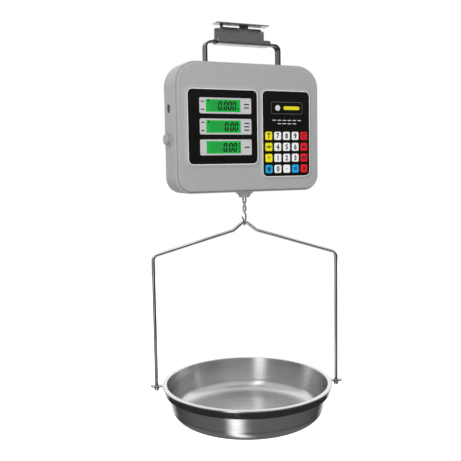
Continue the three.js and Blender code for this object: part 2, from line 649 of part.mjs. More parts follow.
function chargeSocket() {
  const { y, z, flange, proud, barrel, bore, pin, inside } = SOCKET;
  const seat = CASE_LEFT - GAP;
  const mouth = CASE_LEFT - 3;
  const bottom = CASE_LEFT + inside;
  const socket = cylinder("x", flange, seat - proud, seat, [y, z])
    .add(cylinder("x", barrel, mouth, bottom, [y, z]))
    .subtract(cylinder("x", bore, mouth - 1, bottom - 2, [y, z]))
    .add(cylinder("x", pin, mouth + 1, bottom - 1, [y, z], 12));
  add("charge_socket", socket, "casing");
  const back = mouth - GAP;
  const face = back - SOCKET_CAP.length;
  const cap = cylinder("x", SOCKET_CAP.radius, face, back, [y, z])
    .subtract(cylinder("x", SOCKET_CAP.bore, face + SOCKET_CAP.skin, back + 1, [y, z]));
  add("socket_cap", cap, "casing");
}

// ---------- swivel eye and hook ----------
function swivel() {
  const { ringZ, ringRadius, wire: ringWire, shank } = SWIVEL;
  const ring = new THREE.TorusGeometry(ringRadius, ringWire, 8, 18);
  ring.rotateY(Math.PI / 2).translate(0, 0, ringZ);
  const top = NUT.bottom + NUT.height + NUT.spare;
  const eye = solid(ring).add(cylinder("z", shank, ringZ + ringRadius, top, [0, 0]));
  add("swivel_eye", eye, "polished", hanging);
  for (const [name, size, sides] of [["thrust_washer", WASHER, 16], ["eye_nut", NUT, 6]]) {
    const { bottom, height, radius } = size;
    const hole = cylinder("z", shank + GAP, bottom - 1, bottom + height + 1, [0, 0]);
    add(name, cylinder("z", radius, bottom, bottom + height, [0, 0], sides).subtract(hole), "steel", hanging);
  }
}

// One wire: up from its short end as half of a twisted pair, over the eye, down again as the other
// half, and round the open loop that holds the bail.
function hookPath() {
  const { twist, eye, loop, loopTurn, wire: hookWire } = HOOK;
  const pivot = SWIVEL.ringZ - SWIVEL.ringRadius;
  const eyeZ = pivot + SWIVEL.wire + GAP + hookWire - eye;
  const twistTop = -323.5;
  const twistBottom = -349.5;
  const shortEnd = -344;
  const halfPitch = 14.5;
  const strand = (z, side) => {
    const angle = (Math.max(twistTop - z, 0) / halfPitch) * Math.PI;
    const spread = z > twistTop ? THREE.MathUtils.smoothstep(z, -315, eyeZ) * (eye - twist) : 0;
    const radius = side * (twist + spread);
    return new THREE.Vector3(radius * Math.cos(angle), radius * Math.sin(angle), z);
  };
  const points = [];
  for (let z = shortEnd; z < eyeZ; z += 2.4) points.push(strand(z, -1));
  for (let i = 1; i < 8; i += 1) {
    const angle = Math.PI - (i * Math.PI) / 8;
    points.push(new THREE.Vector3(eye * Math.cos(angle), 0, eyeZ + eye * Math.sin(angle)));
  }
  for (let z = eyeZ; z > twistBottom; z -= 2.4) points.push(strand(z, 1));
  const loopZ = BAIL.apexZ - ROD - GAP + loop - hookWire;
  const across = new THREE.Vector3(Math.sin(loopTurn), Math.cos(loopTurn), 0);
  points.push(new THREE.Vector3(2.4, 3.6, loopZ + 6.5));
  for (let i = 0; i <= 8; i += 1) {
    const angle = (-i * Math.PI) / 8;
    const point = across.clone().multiplyScalar(loop * Math.cos(angle));
    points.push(point.setZ(loopZ + loop * Math.sin(angle)));
  }
  points.push(new THREE.Vector3(-2.6, -6.4, loopZ + 4.5), new THREE.Vector3(-4.8, -7.8, loopZ + 9.5));
  return points;
}

// ---------- bail, hoop and pan ----------
function bailPath() {
  const { apexZ, kneeX, kneeZ, kneeSlope, shoulderSlope, legX } = BAIL;
  const rise = Math.tan(THREE.MathUtils.degToRad(kneeSlope)) * kneeX;
  const peak = kneeZ + rise;
  const peakRadius = (peak - apexZ) / (1 / Math.cos(THREE.MathUtils.degToRad(kneeSlope)) - 1);
  const cornerZ = kneeZ - Math.tan(THREE.MathUtils.degToRad(shoulderSlope)) * (legX - kneeX);
  const right = [
    new THREE.Vector2(kneeX, kneeZ),
    new THREE.Vector2(legX, cornerZ),
    new THREE.Vector2(legX, BALL_Z),
  ];
  const left = right.map((point) => new THREE.Vector2(-point.x, point.y)).reverse();
  const { shoulder, knee } = BAIL_BEND;
  const bends = [shoulder, knee, peakRadius, knee, shoulder];
  return roundedLine([...left, new THREE.Vector2(0, peak), ...right], bends, 5);
}

function panBail() {
  let body = solid(bentRod(bailPath(), ROD, 5));
  for (const side of [-1, 1]) {
    const ball = new THREE.SphereGeometry(LEG_BALL, 12, 8).translate(side * BAIL.legX, 0, BALL_Z);
    body = body.add(solid(ball));
  }
  add("pan_bail", body, "polished", hanging);
}

// Round rod bent in the X-Z plane along a polyline, with one ring of vertices at every point of it.
function bentRod(points, radius, sides) {
  const length = points.length;
  const curve = new THREE.Curve();
  const at = (t) => {
    const place = t * (length - 1);
    const i = Math.min(Math.floor(place), length - 2);
    const point = points[i].clone().lerp(points[i + 1], place - i);
    return new THREE.Vector3(point.x, 0, point.y);
  };
  curve.getPoint = at;
  curve.getPointAt = at;
  curve.getTangentAt = (t) => {
    const i = Math.round(t * (length - 1));
    const before = points[Math.max(i - 1, 0)];
    const after = points[Math.min(i + 1, length - 1)];
    const along = after.clone().sub(points[i]).normalize().add(points[i].clone().sub(before).normalize());
    return new THREE.Vector3(along.x, 0, along.y).normalize();
  };
  const section = new THREE.Shape();
  section.absarc(0, 0, radius, 0, 2 * Math.PI);
  return new THREE.ExtrudeGeometry(section, {
    steps: length - 1,
    extrudePath: curve,
    bevelEnabled: false,
    curveSegments: sides,
  });
}

function panHoop() {
  const { inner, thickness, top, height } = HOOP;
  const outer = inner + thickness;
  const bottom = top - height;
  let body = turned([[inner, bottom], [outer, bottom], [outer, top], [inner, top], [inner, bottom]], 60);
  const { half, hole, overlap } = EAR;
  const low = EAR.top - EAR.thickness;
  for (const side of [-1, 1]) {
    const root = side * (inner + overlap);
    const tip = side * (EAR.tip - half);
    const [x0, x1] = [Math.min(root, tip), Math.max(root, tip)];
    body = body
      .add(box([x0, -half, low], [x1, half, EAR.top]))
      .add(cylinder("z", half, low, EAR.top, [tip, 0], 20))
      .subtract(cylinder("z", hole, low - 1, EAR.top + 1, [side * BAIL.legX, 0], 20));
  }
  add("pan_hoop", body, "polished", hanging);
}

// Points [radius, z] of the curve between the wall and the floor of the pan, from the wall down.
function panBend(offset, steps = 4) {
  const bottom = PAN.flangeZ - PAN.depth;
  const across = PAN_WALL.bendAcross - offset;
  const down = bottom + offset - PAN_WALL.lowZ;
  const points = [];
  for (let i = 0; i <= steps; i += 1) {
    const angle = ((i / steps) * Math.PI) / 2;
    const radius = PAN_WALL.low - offset - across * (1 - Math.cos(angle));
    points.push([radius, PAN_WALL.lowZ + down * Math.sin(angle)]);
  }
  return points;
}

function pan() {
  const { rim, flangeZ, mouth, depth, sheet, lip } = PAN;
  const bottom = flangeZ - depth;
  const neck = flangeZ - sheet - 2;
  const { radius, height, slope } = PAN_STEP;
  const top = PAN_WALL.top;
  const outside = [[0, bottom + height], [radius - slope, bottom + height], [radius, bottom]];
  outside.push(...panBend(0).reverse(), [top, neck], [top + 1, flangeZ - sheet]);
  outside.push([rim - sheet, flangeZ - sheet], [rim - sheet, flangeZ - lip]);
  const inside = [[rim, flangeZ - lip], [rim, flangeZ], [mouth, flangeZ], [mouth, neck], ...panBend(sheet)];
  const floor = bottom + sheet;
  inside.push([radius, floor], [radius - slope, floor + height], [0, floor + height]);
  add("pan", turned([...outside, ...inside], 48), "brushed", hanging);
}

ceilingBracket();
carryStrap();
crossBeam();
loadCell();
frontCover();
rearCover();
displayGroup();
keypadGroup();
electronics();
powerSwitch();
chargeSocket();
swivel();
add("s_hook", wire(hookPath(), HOOK.wire, 4, 64), "polished", hanging);
panBail();
panHoop();
pan();

export default scale;
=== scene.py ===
"""Looks of a hanging price-computing scale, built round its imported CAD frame.

Metres, +Z up, front of the scale towards -Y. The head hangs from a ceiling bracket by a flat strap; the
pan hangs from the load cell by a swivel eye, a twisted hook, a wire bail and a hoop.
"""

import json
import math

import bmesh
import bpy
from mathutils import Matrix, Vector

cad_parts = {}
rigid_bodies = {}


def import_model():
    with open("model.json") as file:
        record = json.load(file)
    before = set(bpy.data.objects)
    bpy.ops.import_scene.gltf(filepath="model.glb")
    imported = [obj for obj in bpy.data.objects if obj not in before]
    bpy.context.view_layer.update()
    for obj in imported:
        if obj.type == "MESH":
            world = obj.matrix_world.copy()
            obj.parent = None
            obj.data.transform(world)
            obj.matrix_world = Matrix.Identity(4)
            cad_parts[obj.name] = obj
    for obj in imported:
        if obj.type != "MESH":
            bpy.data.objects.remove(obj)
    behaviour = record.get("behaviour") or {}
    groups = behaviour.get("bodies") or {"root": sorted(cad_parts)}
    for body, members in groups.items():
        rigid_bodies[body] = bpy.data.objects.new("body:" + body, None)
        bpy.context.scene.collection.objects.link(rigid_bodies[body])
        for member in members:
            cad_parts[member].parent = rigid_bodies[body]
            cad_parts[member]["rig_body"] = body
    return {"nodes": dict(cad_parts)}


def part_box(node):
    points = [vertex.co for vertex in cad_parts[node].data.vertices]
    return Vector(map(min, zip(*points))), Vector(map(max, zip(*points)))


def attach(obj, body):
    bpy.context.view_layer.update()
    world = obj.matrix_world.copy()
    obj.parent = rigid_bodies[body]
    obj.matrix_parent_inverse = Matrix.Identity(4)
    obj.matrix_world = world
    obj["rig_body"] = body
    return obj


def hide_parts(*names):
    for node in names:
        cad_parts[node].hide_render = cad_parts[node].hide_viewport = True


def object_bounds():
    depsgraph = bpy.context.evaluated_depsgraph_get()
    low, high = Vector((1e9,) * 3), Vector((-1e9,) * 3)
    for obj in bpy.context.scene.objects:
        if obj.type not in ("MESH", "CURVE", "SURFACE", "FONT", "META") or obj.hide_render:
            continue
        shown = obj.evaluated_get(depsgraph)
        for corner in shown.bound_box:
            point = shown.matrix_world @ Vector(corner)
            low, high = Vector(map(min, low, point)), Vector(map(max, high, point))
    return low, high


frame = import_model()
cad_low, cad_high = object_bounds()

MM = 0.001
GAP = 0.3 * MM  # free space between touching pieces
QUARTER = math.pi / 2


class Span:
    """The box of a CAD node at rest."""

    def __init__(self, node):
        self.low, self.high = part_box(node)
        self.mid = (self.low + self.high) / 2
        self.size = self.high - self.low


# ---------- camera, light and floor ----------
CAMERA_AT = (-0.5370, -1.1269, -0.2568)
CAMERA_AZIMUTH = math.radians(-24.24)
CAMERA_DOWN = math.radians(5.60)
CAMERA_ROLL = math.radians(-0.97)
CAMERA_LENS = 51.95
FLOOR_DROP = 0.75  # free height under the pan
AMBIENT = 0.55  # even light that matt surfaces receive
# What metal reflects. Each ramp starts and ends at a cosine, and may give how bright its end is.
LOW_BACK = (0.66, 0.84)
HIGH_BACK = (-0.1, 0.35, 1.35)
HORIZON = (-0.08, 0.08)
GROUND = (-0.45, -0.65, 0.2)
ROOM = (-1, -0.9, 0.06)
CEILING = (0.14, 0.42, 0.75)
STRIP_AZIMUTH = -21
STRIP_EDGE = (0.22, 0.05, 2.0)
STRIP_FRONT = (0, 0.2)
STRIP_ABOVE = (-0.34, -0.30)  # the strip has a gap, from here down to where the next one starts
STRIP_BELOW = (-0.43, -0.47)


def make_camera():
    data = bpy.data.cameras.new("camera")
    data.lens = CAMERA_LENS
    data.sensor_width = 36
    camera = bpy.data.objects.new("camera", data)
    turn = Matrix.Rotation(CAMERA_AZIMUTH, 4, "Z") @ Matrix.Rotation(QUARTER - CAMERA_DOWN, 4, "X")
    camera.matrix_world = Matrix.Translation(CAMERA_AT) @ turn @ Matrix.Rotation(CAMERA_ROLL, 4, "Z")
    bpy.context.scene.collection.objects.link(camera)
    bpy.context.scene.camera = camera


def view_direction(azimuth, elevation):
    """Unit vector from the scale towards a place round it; azimuth 0 is in front of the camera."""
    around = CAMERA_AZIMUTH + math.radians(azimuth)
    up = math.radians(elevation)
    return Vector((math.sin(around) * math.cos(up), -math.cos(around) * math.cos(up), math.sin(up)))


def softbox(name, azimuth, elevation, distance, width, height, power):
    """Rectangular light aimed at the scale; polished parts reflect the world instead of it."""
    data = bpy.data.lights.new(name, "AREA")
    data.shape = "RECTANGLE"
    data.size = width
    data.size_y = height
    data.energy = power
    light = bpy.data.objects.new(name, data)
    target = (cad_low + cad_high) / 2
    towards = view_direction(azimuth, elevation)
    light.location = target + towards * distance
    light.rotation_mode = "QUATERNION"
    light.rotation_quaternion = towards.to_track_quat("Z", "Y")
    light.visible_glossy = False
    bpy.context.scene.collection.objects.link(light)


def make_world():
    """White backdrop to the camera, even light on matt surfaces and a room for polished ones to reflect.

    The room is dim, with a white back, a grey ground, a pale ceiling and a tall light strip.
    """
    world = bpy.data.worlds.new("studio")
    world.use_nodes = True
    bpy.context.scene.world = world
    nodes, links = world.node_tree.nodes, world.node_tree.links
    nodes.clear()
    coordinates = nodes.new("ShaderNodeTexCoord")

    def along(direction):
        node = nodes.new("ShaderNodeVectorMath")
        node.operation = "DOT_PRODUCT"
        node.inputs[1].default_value = direction
        links.new(coordinates.outputs["Generated"], node.inputs[0])
        return node.outputs["Value"]

    def ramp(source, start, end, value=1.0):
        node = nodes.new("ShaderNodeMapRange")
        node.inputs["From Min"].default_value = start
        node.inputs["From Max"].default_value = end
        node.inputs["To Max"].default_value = value
        links.new(source, node.inputs["Value"])
        return node.outputs["Result"]

    def maths(operation, *sources):
        node = nodes.new("ShaderNodeMath")
        node.operation = operation
        for socket, source in zip(node.inputs, sources):
            links.new(source, socket)
        return node.outputs[0]

    behind = along(-view_direction(0, 0))
    above = along((0, 0, 1))
    high_back = maths("MULTIPLY", ramp(behind, *HIGH_BACK), ramp(above, *HORIZON))
    back = maths("MAXIMUM", ramp(behind, *LOW_BACK), high_back)
    ground = ramp(above, *GROUND)
    off_strip = maths("ABSOLUTE", along(view_direction(STRIP_AZIMUTH + 90, 0)))
    before_strip = ramp(along(view_direction(STRIP_AZIMUTH, 0)), *STRIP_FRONT)
    strip = maths("MULTIPLY", ramp(off_strip, *STRIP_EDGE), before_strip)
    parted = maths("MAXIMUM", ramp(above, *STRIP_ABOVE), ramp(above, *STRIP_BELOW))
    strip = maths("MULTIPLY", strip, parted)
    lit = maths("MAXIMUM", maths("MAXIMUM", back, ground), strip)
    brightness = maths("MAXIMUM", lit, maths("ADD", ramp(above, *ROOM), ramp(above, *CEILING)))

    def background(grey):
        node = nodes.new("ShaderNodeBackground")
        node.inputs["Color"].default_value = (grey, grey, grey, 1)
        return node

    def chosen(ray, other, seen):
        node = nodes.new("ShaderNodeMixShader")
        links.new(path.outputs[ray], node.inputs["Fac"])
        links.new(other, node.inputs[1])
        links.new(seen, node.inputs[2])
        return node.outputs["Shader"]

    room = background(1.0)
    links.new(brightness, room.inputs["Strength"])
    path = nodes.new("ShaderNodeLightPath")
    out = nodes.new("ShaderNodeOutputWorld")
    unseen = chosen("Is Glossy Ray", background(AMBIENT).outputs[0], room.outputs[0])
    links.new(chosen("Is Camera Ray", unseen, background(1.0).outputs[0]), out.inputs["Surface"])


def make_floor():
    half = 6.0
    level = cad_low.z - FLOOR_DROP
    mesh = bpy.data.meshes.new("floor")
    corners = [(x * half, y * half, level) for x, y in ((-1, -1), (1, -1), (1, 1), (-1, 1))]
    mesh.from_pydata(corners, [], [(0, 1, 2, 3)])
    floor = bpy.data.objects.new("floor", mesh)
    material = bpy.data.materials.new("pale_floor")
    material.use_nodes = True
    shader = material.node_tree.nodes["Principled BSDF"]
    shader.inputs["Base Color"].default_value = (0.93, 0.93, 0.93, 1)
    shader.inputs["Roughness"].default_value = 0.9
    shader.inputs["Emission Color"].default_value = (1, 1, 1, 1)
    shader.inputs["Emission Strength"].default_value = 1.0
    mesh.materials.append(material)
    bpy.context.scene.collection.objects.link(floor)
    floor.visible_glossy = False
    floor.visible_diffuse = False


# ---------- mesh tools ----------
def smooth(t):
    """Soft step from 0 to 1."""
    t = max(0.0, min(1.0, t))
    return t * t * (3 - 2 * t)


def mesh_of(points, faces):
    """A closed mesh whose faces point outwards."""
    bm = bmesh.new()
    corners = [bm.verts.new(p) for p in points]
    for face in faces:
        bm.faces.new([corners[i] for i in face])
    bmesh.ops.recalc_face_normals(bm, faces=bm.faces)
    mesh = bpy.data.meshes.new("part")
    bm.to_mesh(mesh)
    bm.free()
    return mesh


def loft(rings, looped=False):
    """Closed skin through rings of equal length, capped at its ends, or joined end to start when looped."""
    count = len(rings[0])
    total = len(rings)
    points = [p for ring in rings for p in ring]
    faces = []
    for i in range(total if looped else total - 1):
        low, high = i * count, ((i + 1) % total) * count
        for k in range(count):
            n = (k + 1) % count
            faces.append((low + k, low + n, high + n, high + k))
    if not looped:
        faces.append(tuple(reversed(range(count))))
        faces.append(tuple(range((total - 1) * count, total * count)))
    return mesh_of(points, faces)


def arc(centre, radius, start, end, steps):
    """Points of an arc in a plane; angles in radians."""
    angles = [start + (end - start) * i / steps for i in range(steps + 1)]
    return [(centre[0] + radius * math.cos(a), centre[1] + radius * math.sin(a)) for a in angles]


def rounded_outline(width, height, radius, steps=8, low=None):
    """Anticlockwise rounded rectangle about the origin; its lower corners may have another radius."""
    smallest = 0.02 * MM
    largest = min(width, height) / 2
    upper, lower = [max(min(r, largest), smallest) for r in (radius, radius if low is None else low)]
    points = []
    for i, (sx, sz, r) in enumerate([(1, 1, upper), (-1, 1, upper), (-1, -1, lower), (1, -1, lower)]):
        centre = (sx * (width / 2 - r), sz * (height / 2 - r))
        points += arc(centre, r, i * QUARTER, (i + 1) * QUARTER, steps)
    return points


def slab(width, height, corner, profile, x=0.0, z=0.0, steps=8, low=None):
    """Upright rounded rectangle, facing -Y, whose outline is inset as the profile's (y, inset) pairs say."""
    low = corner if low is None else low
    rings = []
    for y, inset in profile:
        outline = rounded_outline(width - 2 * inset, height - 2 * inset, corner - inset, steps, low - inset)
        rings.append([(x + px, y, z + pz) for px, pz in outline])
    return loft(rings)


def slab_over(span, grow, corner, profile, steps=8):
    """Slab over the outline of a CAD node, grown evenly to the given corner radius."""
    size = (span.size.x + 2 * grow, span.size.z + 2 * grow)
    return slab(*size, corner, profile, span.mid.x, span.mid.z, steps)


def round_over(face, edge, inset=0.0, steps=4, side=1):
    """Profile of a rounded edge from the wall to a face; side is 1 for a front face and -1 for a back one."""
    angles = [QUARTER * i / steps for i in range(steps + 1)]
    return [(face + side * edge * (1 - math.sin(a)), inset + edge * (1 - math.cos(a))) for a in angles]


def block(low, high):
    x0, y0, z0 = low
    x1, y1, z1 = high
    points = [(x, y, z) for z in (z0, z1) for x, y in ((x0, y0), (x1, y0), (x1, y1), (x0, y1))]
    faces = [(3, 2, 1, 0), (4, 5, 6, 7), (0, 1, 5, 4), (1, 2, 6, 5), (2, 3, 7, 6), (3, 0, 4, 7)]
    return mesh_of(points, faces)


AXES = {
    "x": Matrix.Rotation(QUARTER, 4, "Y"),
    "y": Matrix.Rotation(-QUARTER, 4, "X"),
    "z": Matrix.Identity(4),
}


def turned(profile, segments, centre=(0, 0, 0), axis="z", looped=False):
    """Body turned about an axis from (radius, height) pairs; looped joins the last to the first."""
    points, rings = [], []
    for radius, height in profile:
        if radius < 1e-7:
            rings.append([len(points)])
            points.append(Vector((0, 0, height)))
            continue
        rings.append(list(range(len(points), len(points) + segments)))
        for k in range(segments):
            angle = 2 * math.pi * k / segments
            points.append(Vector((radius * math.cos(angle), radius * math.sin(angle), height)))
    faces = []
    for i in range(len(rings) if looped else len(rings) - 1):
        low, high = rings[i], rings[(i + 1) % len(rings)]
        for k in range(segments):
            n = (k + 1) % segments
            around = [low[k % len(low)], low[n % len(low)], high[n % len(high)], high[k % len(high)]]
            unique = [v for j, v in enumerate(around) if v not in around[:j]]
            if len(unique) > 2:
                faces.append(tuple(unique))
    place = Matrix.Translation(centre) @ AXES[axis]
    return mesh_of([place @ p for p in points], faces)


def drum(radius, low, high, centre, axis, edge=0.0, segments=48):
    """Cylinder along an axis between two heights from centre, with rounded rims."""
    profile = [(0, low)]
    if edge:
        profile += arc((radius - edge, low + edge), edge, -QUARTER, 0, 3)
        profile += arc((radius - edge, high - edge), edge, 0, QUARTER, 3)
    else:
        profile += [(radius, low), (radius, high)]
    return turned(profile + [(0, high)], segments, centre, axis)


def directions(path):
    """Unit direction of travel at each point of a path."""
    found = []
    for i, point in enumerate(path):
        before, after = path[max(i - 1, 0)], path[min(i + 1, len(path) - 1)]
        ahead = (after - point).normalized() if after != point else Vector()
        behind = (point - before).normalized() if before != point else Vector()
        found.append((ahead + behind).normalized())
    return found


def rod(path, radius, sides=20, dome=3):
    """Round rod along a path, with domed ends."""
    along = directions(path)
    side = along[0].orthogonal().normalized()
    rings = []

    def ring(point, direction, size):
        across = direction.cross(side).normalized()
        turn = [2 * math.pi * k / sides for k in range(sides)]
        rings.append([point + side * (size * math.cos(a)) + across * (size * math.sin(a)) for a in turn])

    for i in range(1, dome + 1):
        lift = QUARTER * i / (dome + 1)
        ring(path[0] - along[0] * radius * math.cos(lift), along[0], radius * math.sin(lift))
    for point, direction in zip(path, along):
        side = (side - direction * side.dot(direction)).normalized()
        ring(point, direction, radius)
    for i in range(dome, 0, -1):
        lift = QUARTER * i / (dome + 1)
        ring(path[-1] + along[-1] * radius * math.cos(lift), along[-1], radius * math.sin(lift))
    return loft(rings)


def strip(path, across, width, thickness, edge):
    """Flat bar bent along a path; across is the direction of its width."""
    rings = []
    for point, direction in zip(path, directions(path)):
        normal = Vector(across).cross(direction).normalized()
        outline = rounded_outline(width, thickness, edge, 3)
        rings.append([point + Vector(across) * u + normal * v for u, v in outline])
    return loft(rings)


def bent_line(corners, radii, steps):
    """Polyline of 2-D points whose inner corners are replaced by arcs."""
    corners = [Vector(c) for c in corners]
    line = [corners[0]]
    for i in range(1, len(corners) - 1):
        radius = radii[i - 1]
        back = (corners[i - 1] - corners[i]).normalized()
        ahead = (corners[i + 1] - corners[i]).normalized()
        half = math.acos(max(-1, min(1, back.dot(ahead)))) / 2
        centre = corners[i] + (back + ahead).normalized() * (radius / math.sin(half))
        start = corners[i] + back * (radius / math.tan(half)) - centre
        turn = math.pi - 2 * half
        side = -math.copysign(1, back.x * ahead.y - back.y * ahead.x)
        for k in range(steps + 1):
            line.append(centre + Matrix.Rotation(side * turn * k / steps, 2) @ start)
    line.append(corners[-1])
    return line


def combined(base, tools, operation):
    """The base mesh cut by, or joined to, each tool in turn."""
    scene = bpy.context.scene.collection.objects
    holder = bpy.data.objects.new("base", base)
    scene.link(holder)
    helpers = []
    for tool in tools:
        helper = bpy.data.objects.new("tool", tool)
        scene.link(helper)
        helpers.append(helper)
        modifier = holder.modifiers.new("shape", "BOOLEAN")
        modifier.operation = operation
        modifier.solver = "MANIFOLD"
        modifier.object = helper
    view = bpy.context.evaluated_depsgraph_get()
    result = bpy.data.meshes.new_from_object(holder.evaluated_get(view), depsgraph=view)
    for helper in [holder, *helpers]:
        bpy.data.objects.remove(helper)
    return result


def cut(base, *tools):
    return combined(base, tools, "DIFFERENCE")


def fused(base, *tools):
    return combined(base, tools, "UNION")


GLYPH_BOLD = 0.04  # outward offset of the font's outlines


def glyph(text, height, x, front, z, depth, squeeze=1.0):
    """Raised numeral or sign, centred on (x, z), whose back lies in the plane y = front."""
    curve = bpy.data.curves.new("glyph", "FONT")
    curve.body = text
    curve.resolution_u = 4
    curve.extrude = 0.5
    curve.offset = GLYPH_BOLD
    holder = bpy.data.objects.new("glyph", curve)
    bpy.context.scene.collection.objects.link(holder)
    view = bpy.context.evaluated_depsgraph_get()
    mesh = bpy.data.meshes.new_from_object(holder.evaluated_get(view), depsgraph=view)
    bpy.data.objects.remove(holder)
    low = Vector(min(v.co[i] for v in mesh.vertices) for i in range(3))
    high = Vector(max(v.co[i] for v in mesh.vertices) for i in range(3))
    scale = height / 0.69  # the font's numerals are 0.69 units tall
    middle = (low + high) / 2
    for vertex in mesh.vertices:
        u, v, w = vertex.co - middle
        vertex.co = (x + u * scale * squeeze, front - (w + 0.5) * depth, z + v * scale)
    return mesh


def joined(parts):
    """One mesh of several (mesh, material) pairs, and its list of materials."""
    bm = bmesh.new()
    finishes = []
    for mesh, finish in parts:
        if finish not in finishes:
            finishes.append(finish)
        first = len(bm.faces)
        bm.from_mesh(mesh)
        bm.faces.ensure_lookup_table()
        for face in bm.faces[first:]:
            face.material_index = finishes.index(finish)
    mesh = bpy.data.meshes.new("joined")
    bm.to_mesh(mesh)
    bm.free()
    return mesh, finishes


def round_edges(thing, width):
    """Small rounding on the sharp edges of an object."""
    rounding = thing.modifiers.new("edges", "BEVEL")
    rounding.width = width
    rounding.segments = 2
    rounding.limit_method = "ANGLE"
    rounding.angle_limit = math.radians(40)


def piece(name, parts, body, replaces=(), bevel=0.0):
    """Adds a piece made of (mesh, material) pairs, riding on a CAD body and standing for CAD nodes."""
    mesh, finishes = joined(parts)
    mesh.name = name
    for material in finishes:
        mesh.materials.append(material)
    mesh.shade_smooth()
    mesh.set_sharp_from_angle(angle=math.radians(32))
    made = bpy.data.objects.new(name, mesh)
    bpy.context.scene.collection.objects.link(made)
    if bevel:
        round_edges(made, bevel)
    weighted = made.modifiers.new("normals", "WEIGHTED_NORMAL")
    weighted.keep_sharp = True
    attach(made, body)
    if replaces:
        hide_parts(*replaces)
    return made


# ---------- materials ----------
class Finish:
    """Node material built up step by step on one Principled shader."""

    def __init__(self, name, colour, roughness, metallic=0.0, coat=0.0, anisotropy=0.0, specular=0.5):
        self.material = bpy.data.materials.new(name)
        self.material.use_nodes = True
        tree = self.material.node_tree
        self.nodes, self.links = tree.nodes, tree.links
        self.shader = self.nodes["Principled BSDF"]
        self.colour = colour
        self.roughness = roughness
        self.shader.inputs["Base Color"].default_value = (*colour, 1)
        self.shader.inputs["Roughness"].default_value = roughness
        self.shader.inputs["Metallic"].default_value = metallic
        self.shader.inputs["Coat Weight"].default_value = coat
        self.shader.inputs["Coat Roughness"].default_value = 0.08
        self.shader.inputs["Anisotropic"].default_value = anisotropy
        self.shader.inputs["Specular IOR Level"].default_value = specular
        self.place = self.nodes.new("ShaderNodeTexCoord").outputs["Object"]
        self.height = None

    def new(self, kind, **values):
        node = self.nodes.new(kind)
        for name, value in values.items():
            setattr(node, name, value)
        return node

    def maths(self, operation, *values):
        """Math node that takes sockets and plain numbers."""
        node = self.new("ShaderNodeMath", operation=operation)
        for socket, value in zip(node.inputs, values):
            if isinstance(value, bpy.types.NodeSocket):
                self.links.new(value, socket)
            else:
                socket.default_value = value
        return node.outputs[0]

    def stretched(self, scale):
        """Coordinates of the piece, scaled by axis."""
        mapping = self.new("ShaderNodeMapping")
        mapping.inputs["Scale"].default_value = scale
        self.links.new(self.place, mapping.inputs["Vector"])
        return mapping.outputs["Vector"]

    def round_the_axis(self, radial, vertical, around):
        """Coordinates (radius, height, angle), each scaled, about the piece's own vertical axis."""
        split = self.new("ShaderNodeSeparateXYZ")
        self.links.new(self.place, split.inputs[0])
        flat = self.new("ShaderNodeCombineXYZ")
        self.links.new(split.outputs["X"], flat.inputs["X"])
        self.links.new(split.outputs["Y"], flat.inputs["Y"])
        length = self.new("ShaderNodeVectorMath", operation="LENGTH")
        self.links.new(flat.outputs[0], length.inputs[0])
        angle = self.maths("ARCTAN2", split.outputs["Y"], split.outputs["X"])
        joint = self.new("ShaderNodeCombineXYZ")
        sources = (length.outputs["Value"], split.outputs["Z"], angle)
        for source, scale, target in zip(sources, (radial, vertical, around), joint.inputs):
            self.links.new(self.maths("MULTIPLY", source, scale), target)
        return joint.outputs[0]

    def noise(self, scale, detail=3.0, vector=None):
        node = self.new("ShaderNodeTexNoise")
        node.inputs["Scale"].default_value = scale
        node.inputs["Detail"].default_value = detail
        self.links.new(self.place if vector is None else vector, node.inputs["Vector"])
        return node.outputs["Fac"]

    def ranged(self, source, low, high, from_low=0.3, from_high=0.7):
        node = self.new("ShaderNodeMapRange")
        node.inputs["From Min"].default_value = from_low
        node.inputs["From Max"].default_value = from_high
        node.inputs["To Min"].default_value = low
        node.inputs["To Max"].default_value = high
        self.links.new(source, node.inputs["Value"])
        return node.outputs["Result"]

    def vary_roughness(self, source, amount):
        value = self.ranged(source, max(self.roughness - amount, 0.02), self.roughness + amount)
        self.links.new(value, self.shader.inputs["Roughness"])
        return self

    def vary_colour(self, source, other, share=1.0):
        """Mixes the present colour towards another where the source is high."""
        mix = self.new("ShaderNodeMix", data_type="RGBA")
        base = self.shader.inputs["Base Color"]
        if base.is_linked:
            self.links.new(base.links[0].from_socket, mix.inputs["A"])
        else:
            mix.inputs["A"].default_value = base.default_value
        mix.inputs["B"].default_value = (*other, 1)
        self.links.new(self.ranged(source, 0, share), mix.inputs["Factor"])
        self.links.new(mix.outputs["Result"], base)
        return self

    def bump(self, source, depth, strength=1.0):
        node = self.new("ShaderNodeBump")
        node.inputs["Distance"].default_value = depth
        node.inputs["Strength"].default_value = strength
        self.links.new(source, node.inputs["Height"])
        if self.height is not None:
            self.links.new(self.height, node.inputs["Normal"])
        self.height = node.outputs["Normal"]
        self.links.new(self.height, self.shader.inputs["Normal"])
        return self


def shade(colour, factor):
    return tuple(min(c * factor, 1) for c in colour)


CASE_TEXTURE, KEY_TEXTURE, INK_TEXTURE = 0.035 * MM, 0.01 * MM, 0.005 * MM


def moulded_plastic(name, colour, roughness, texture=CASE_TEXTURE):
    """Injection-moulded plastic: fine spark texture, slightly uneven sheen, faint handling marks."""
    finish = Finish(name, colour, roughness)
    finish.vary_colour(finish.noise(14), shade(colour, 0.93), 0.5)
    finish.vary_colour(finish.noise(160, 5), shade(colour, 1.08), 0.35)
    finish.vary_roughness(finish.noise(35, 4), 0.06)
    finish.bump(finish.noise(1400, 2), texture)
    return finish.material


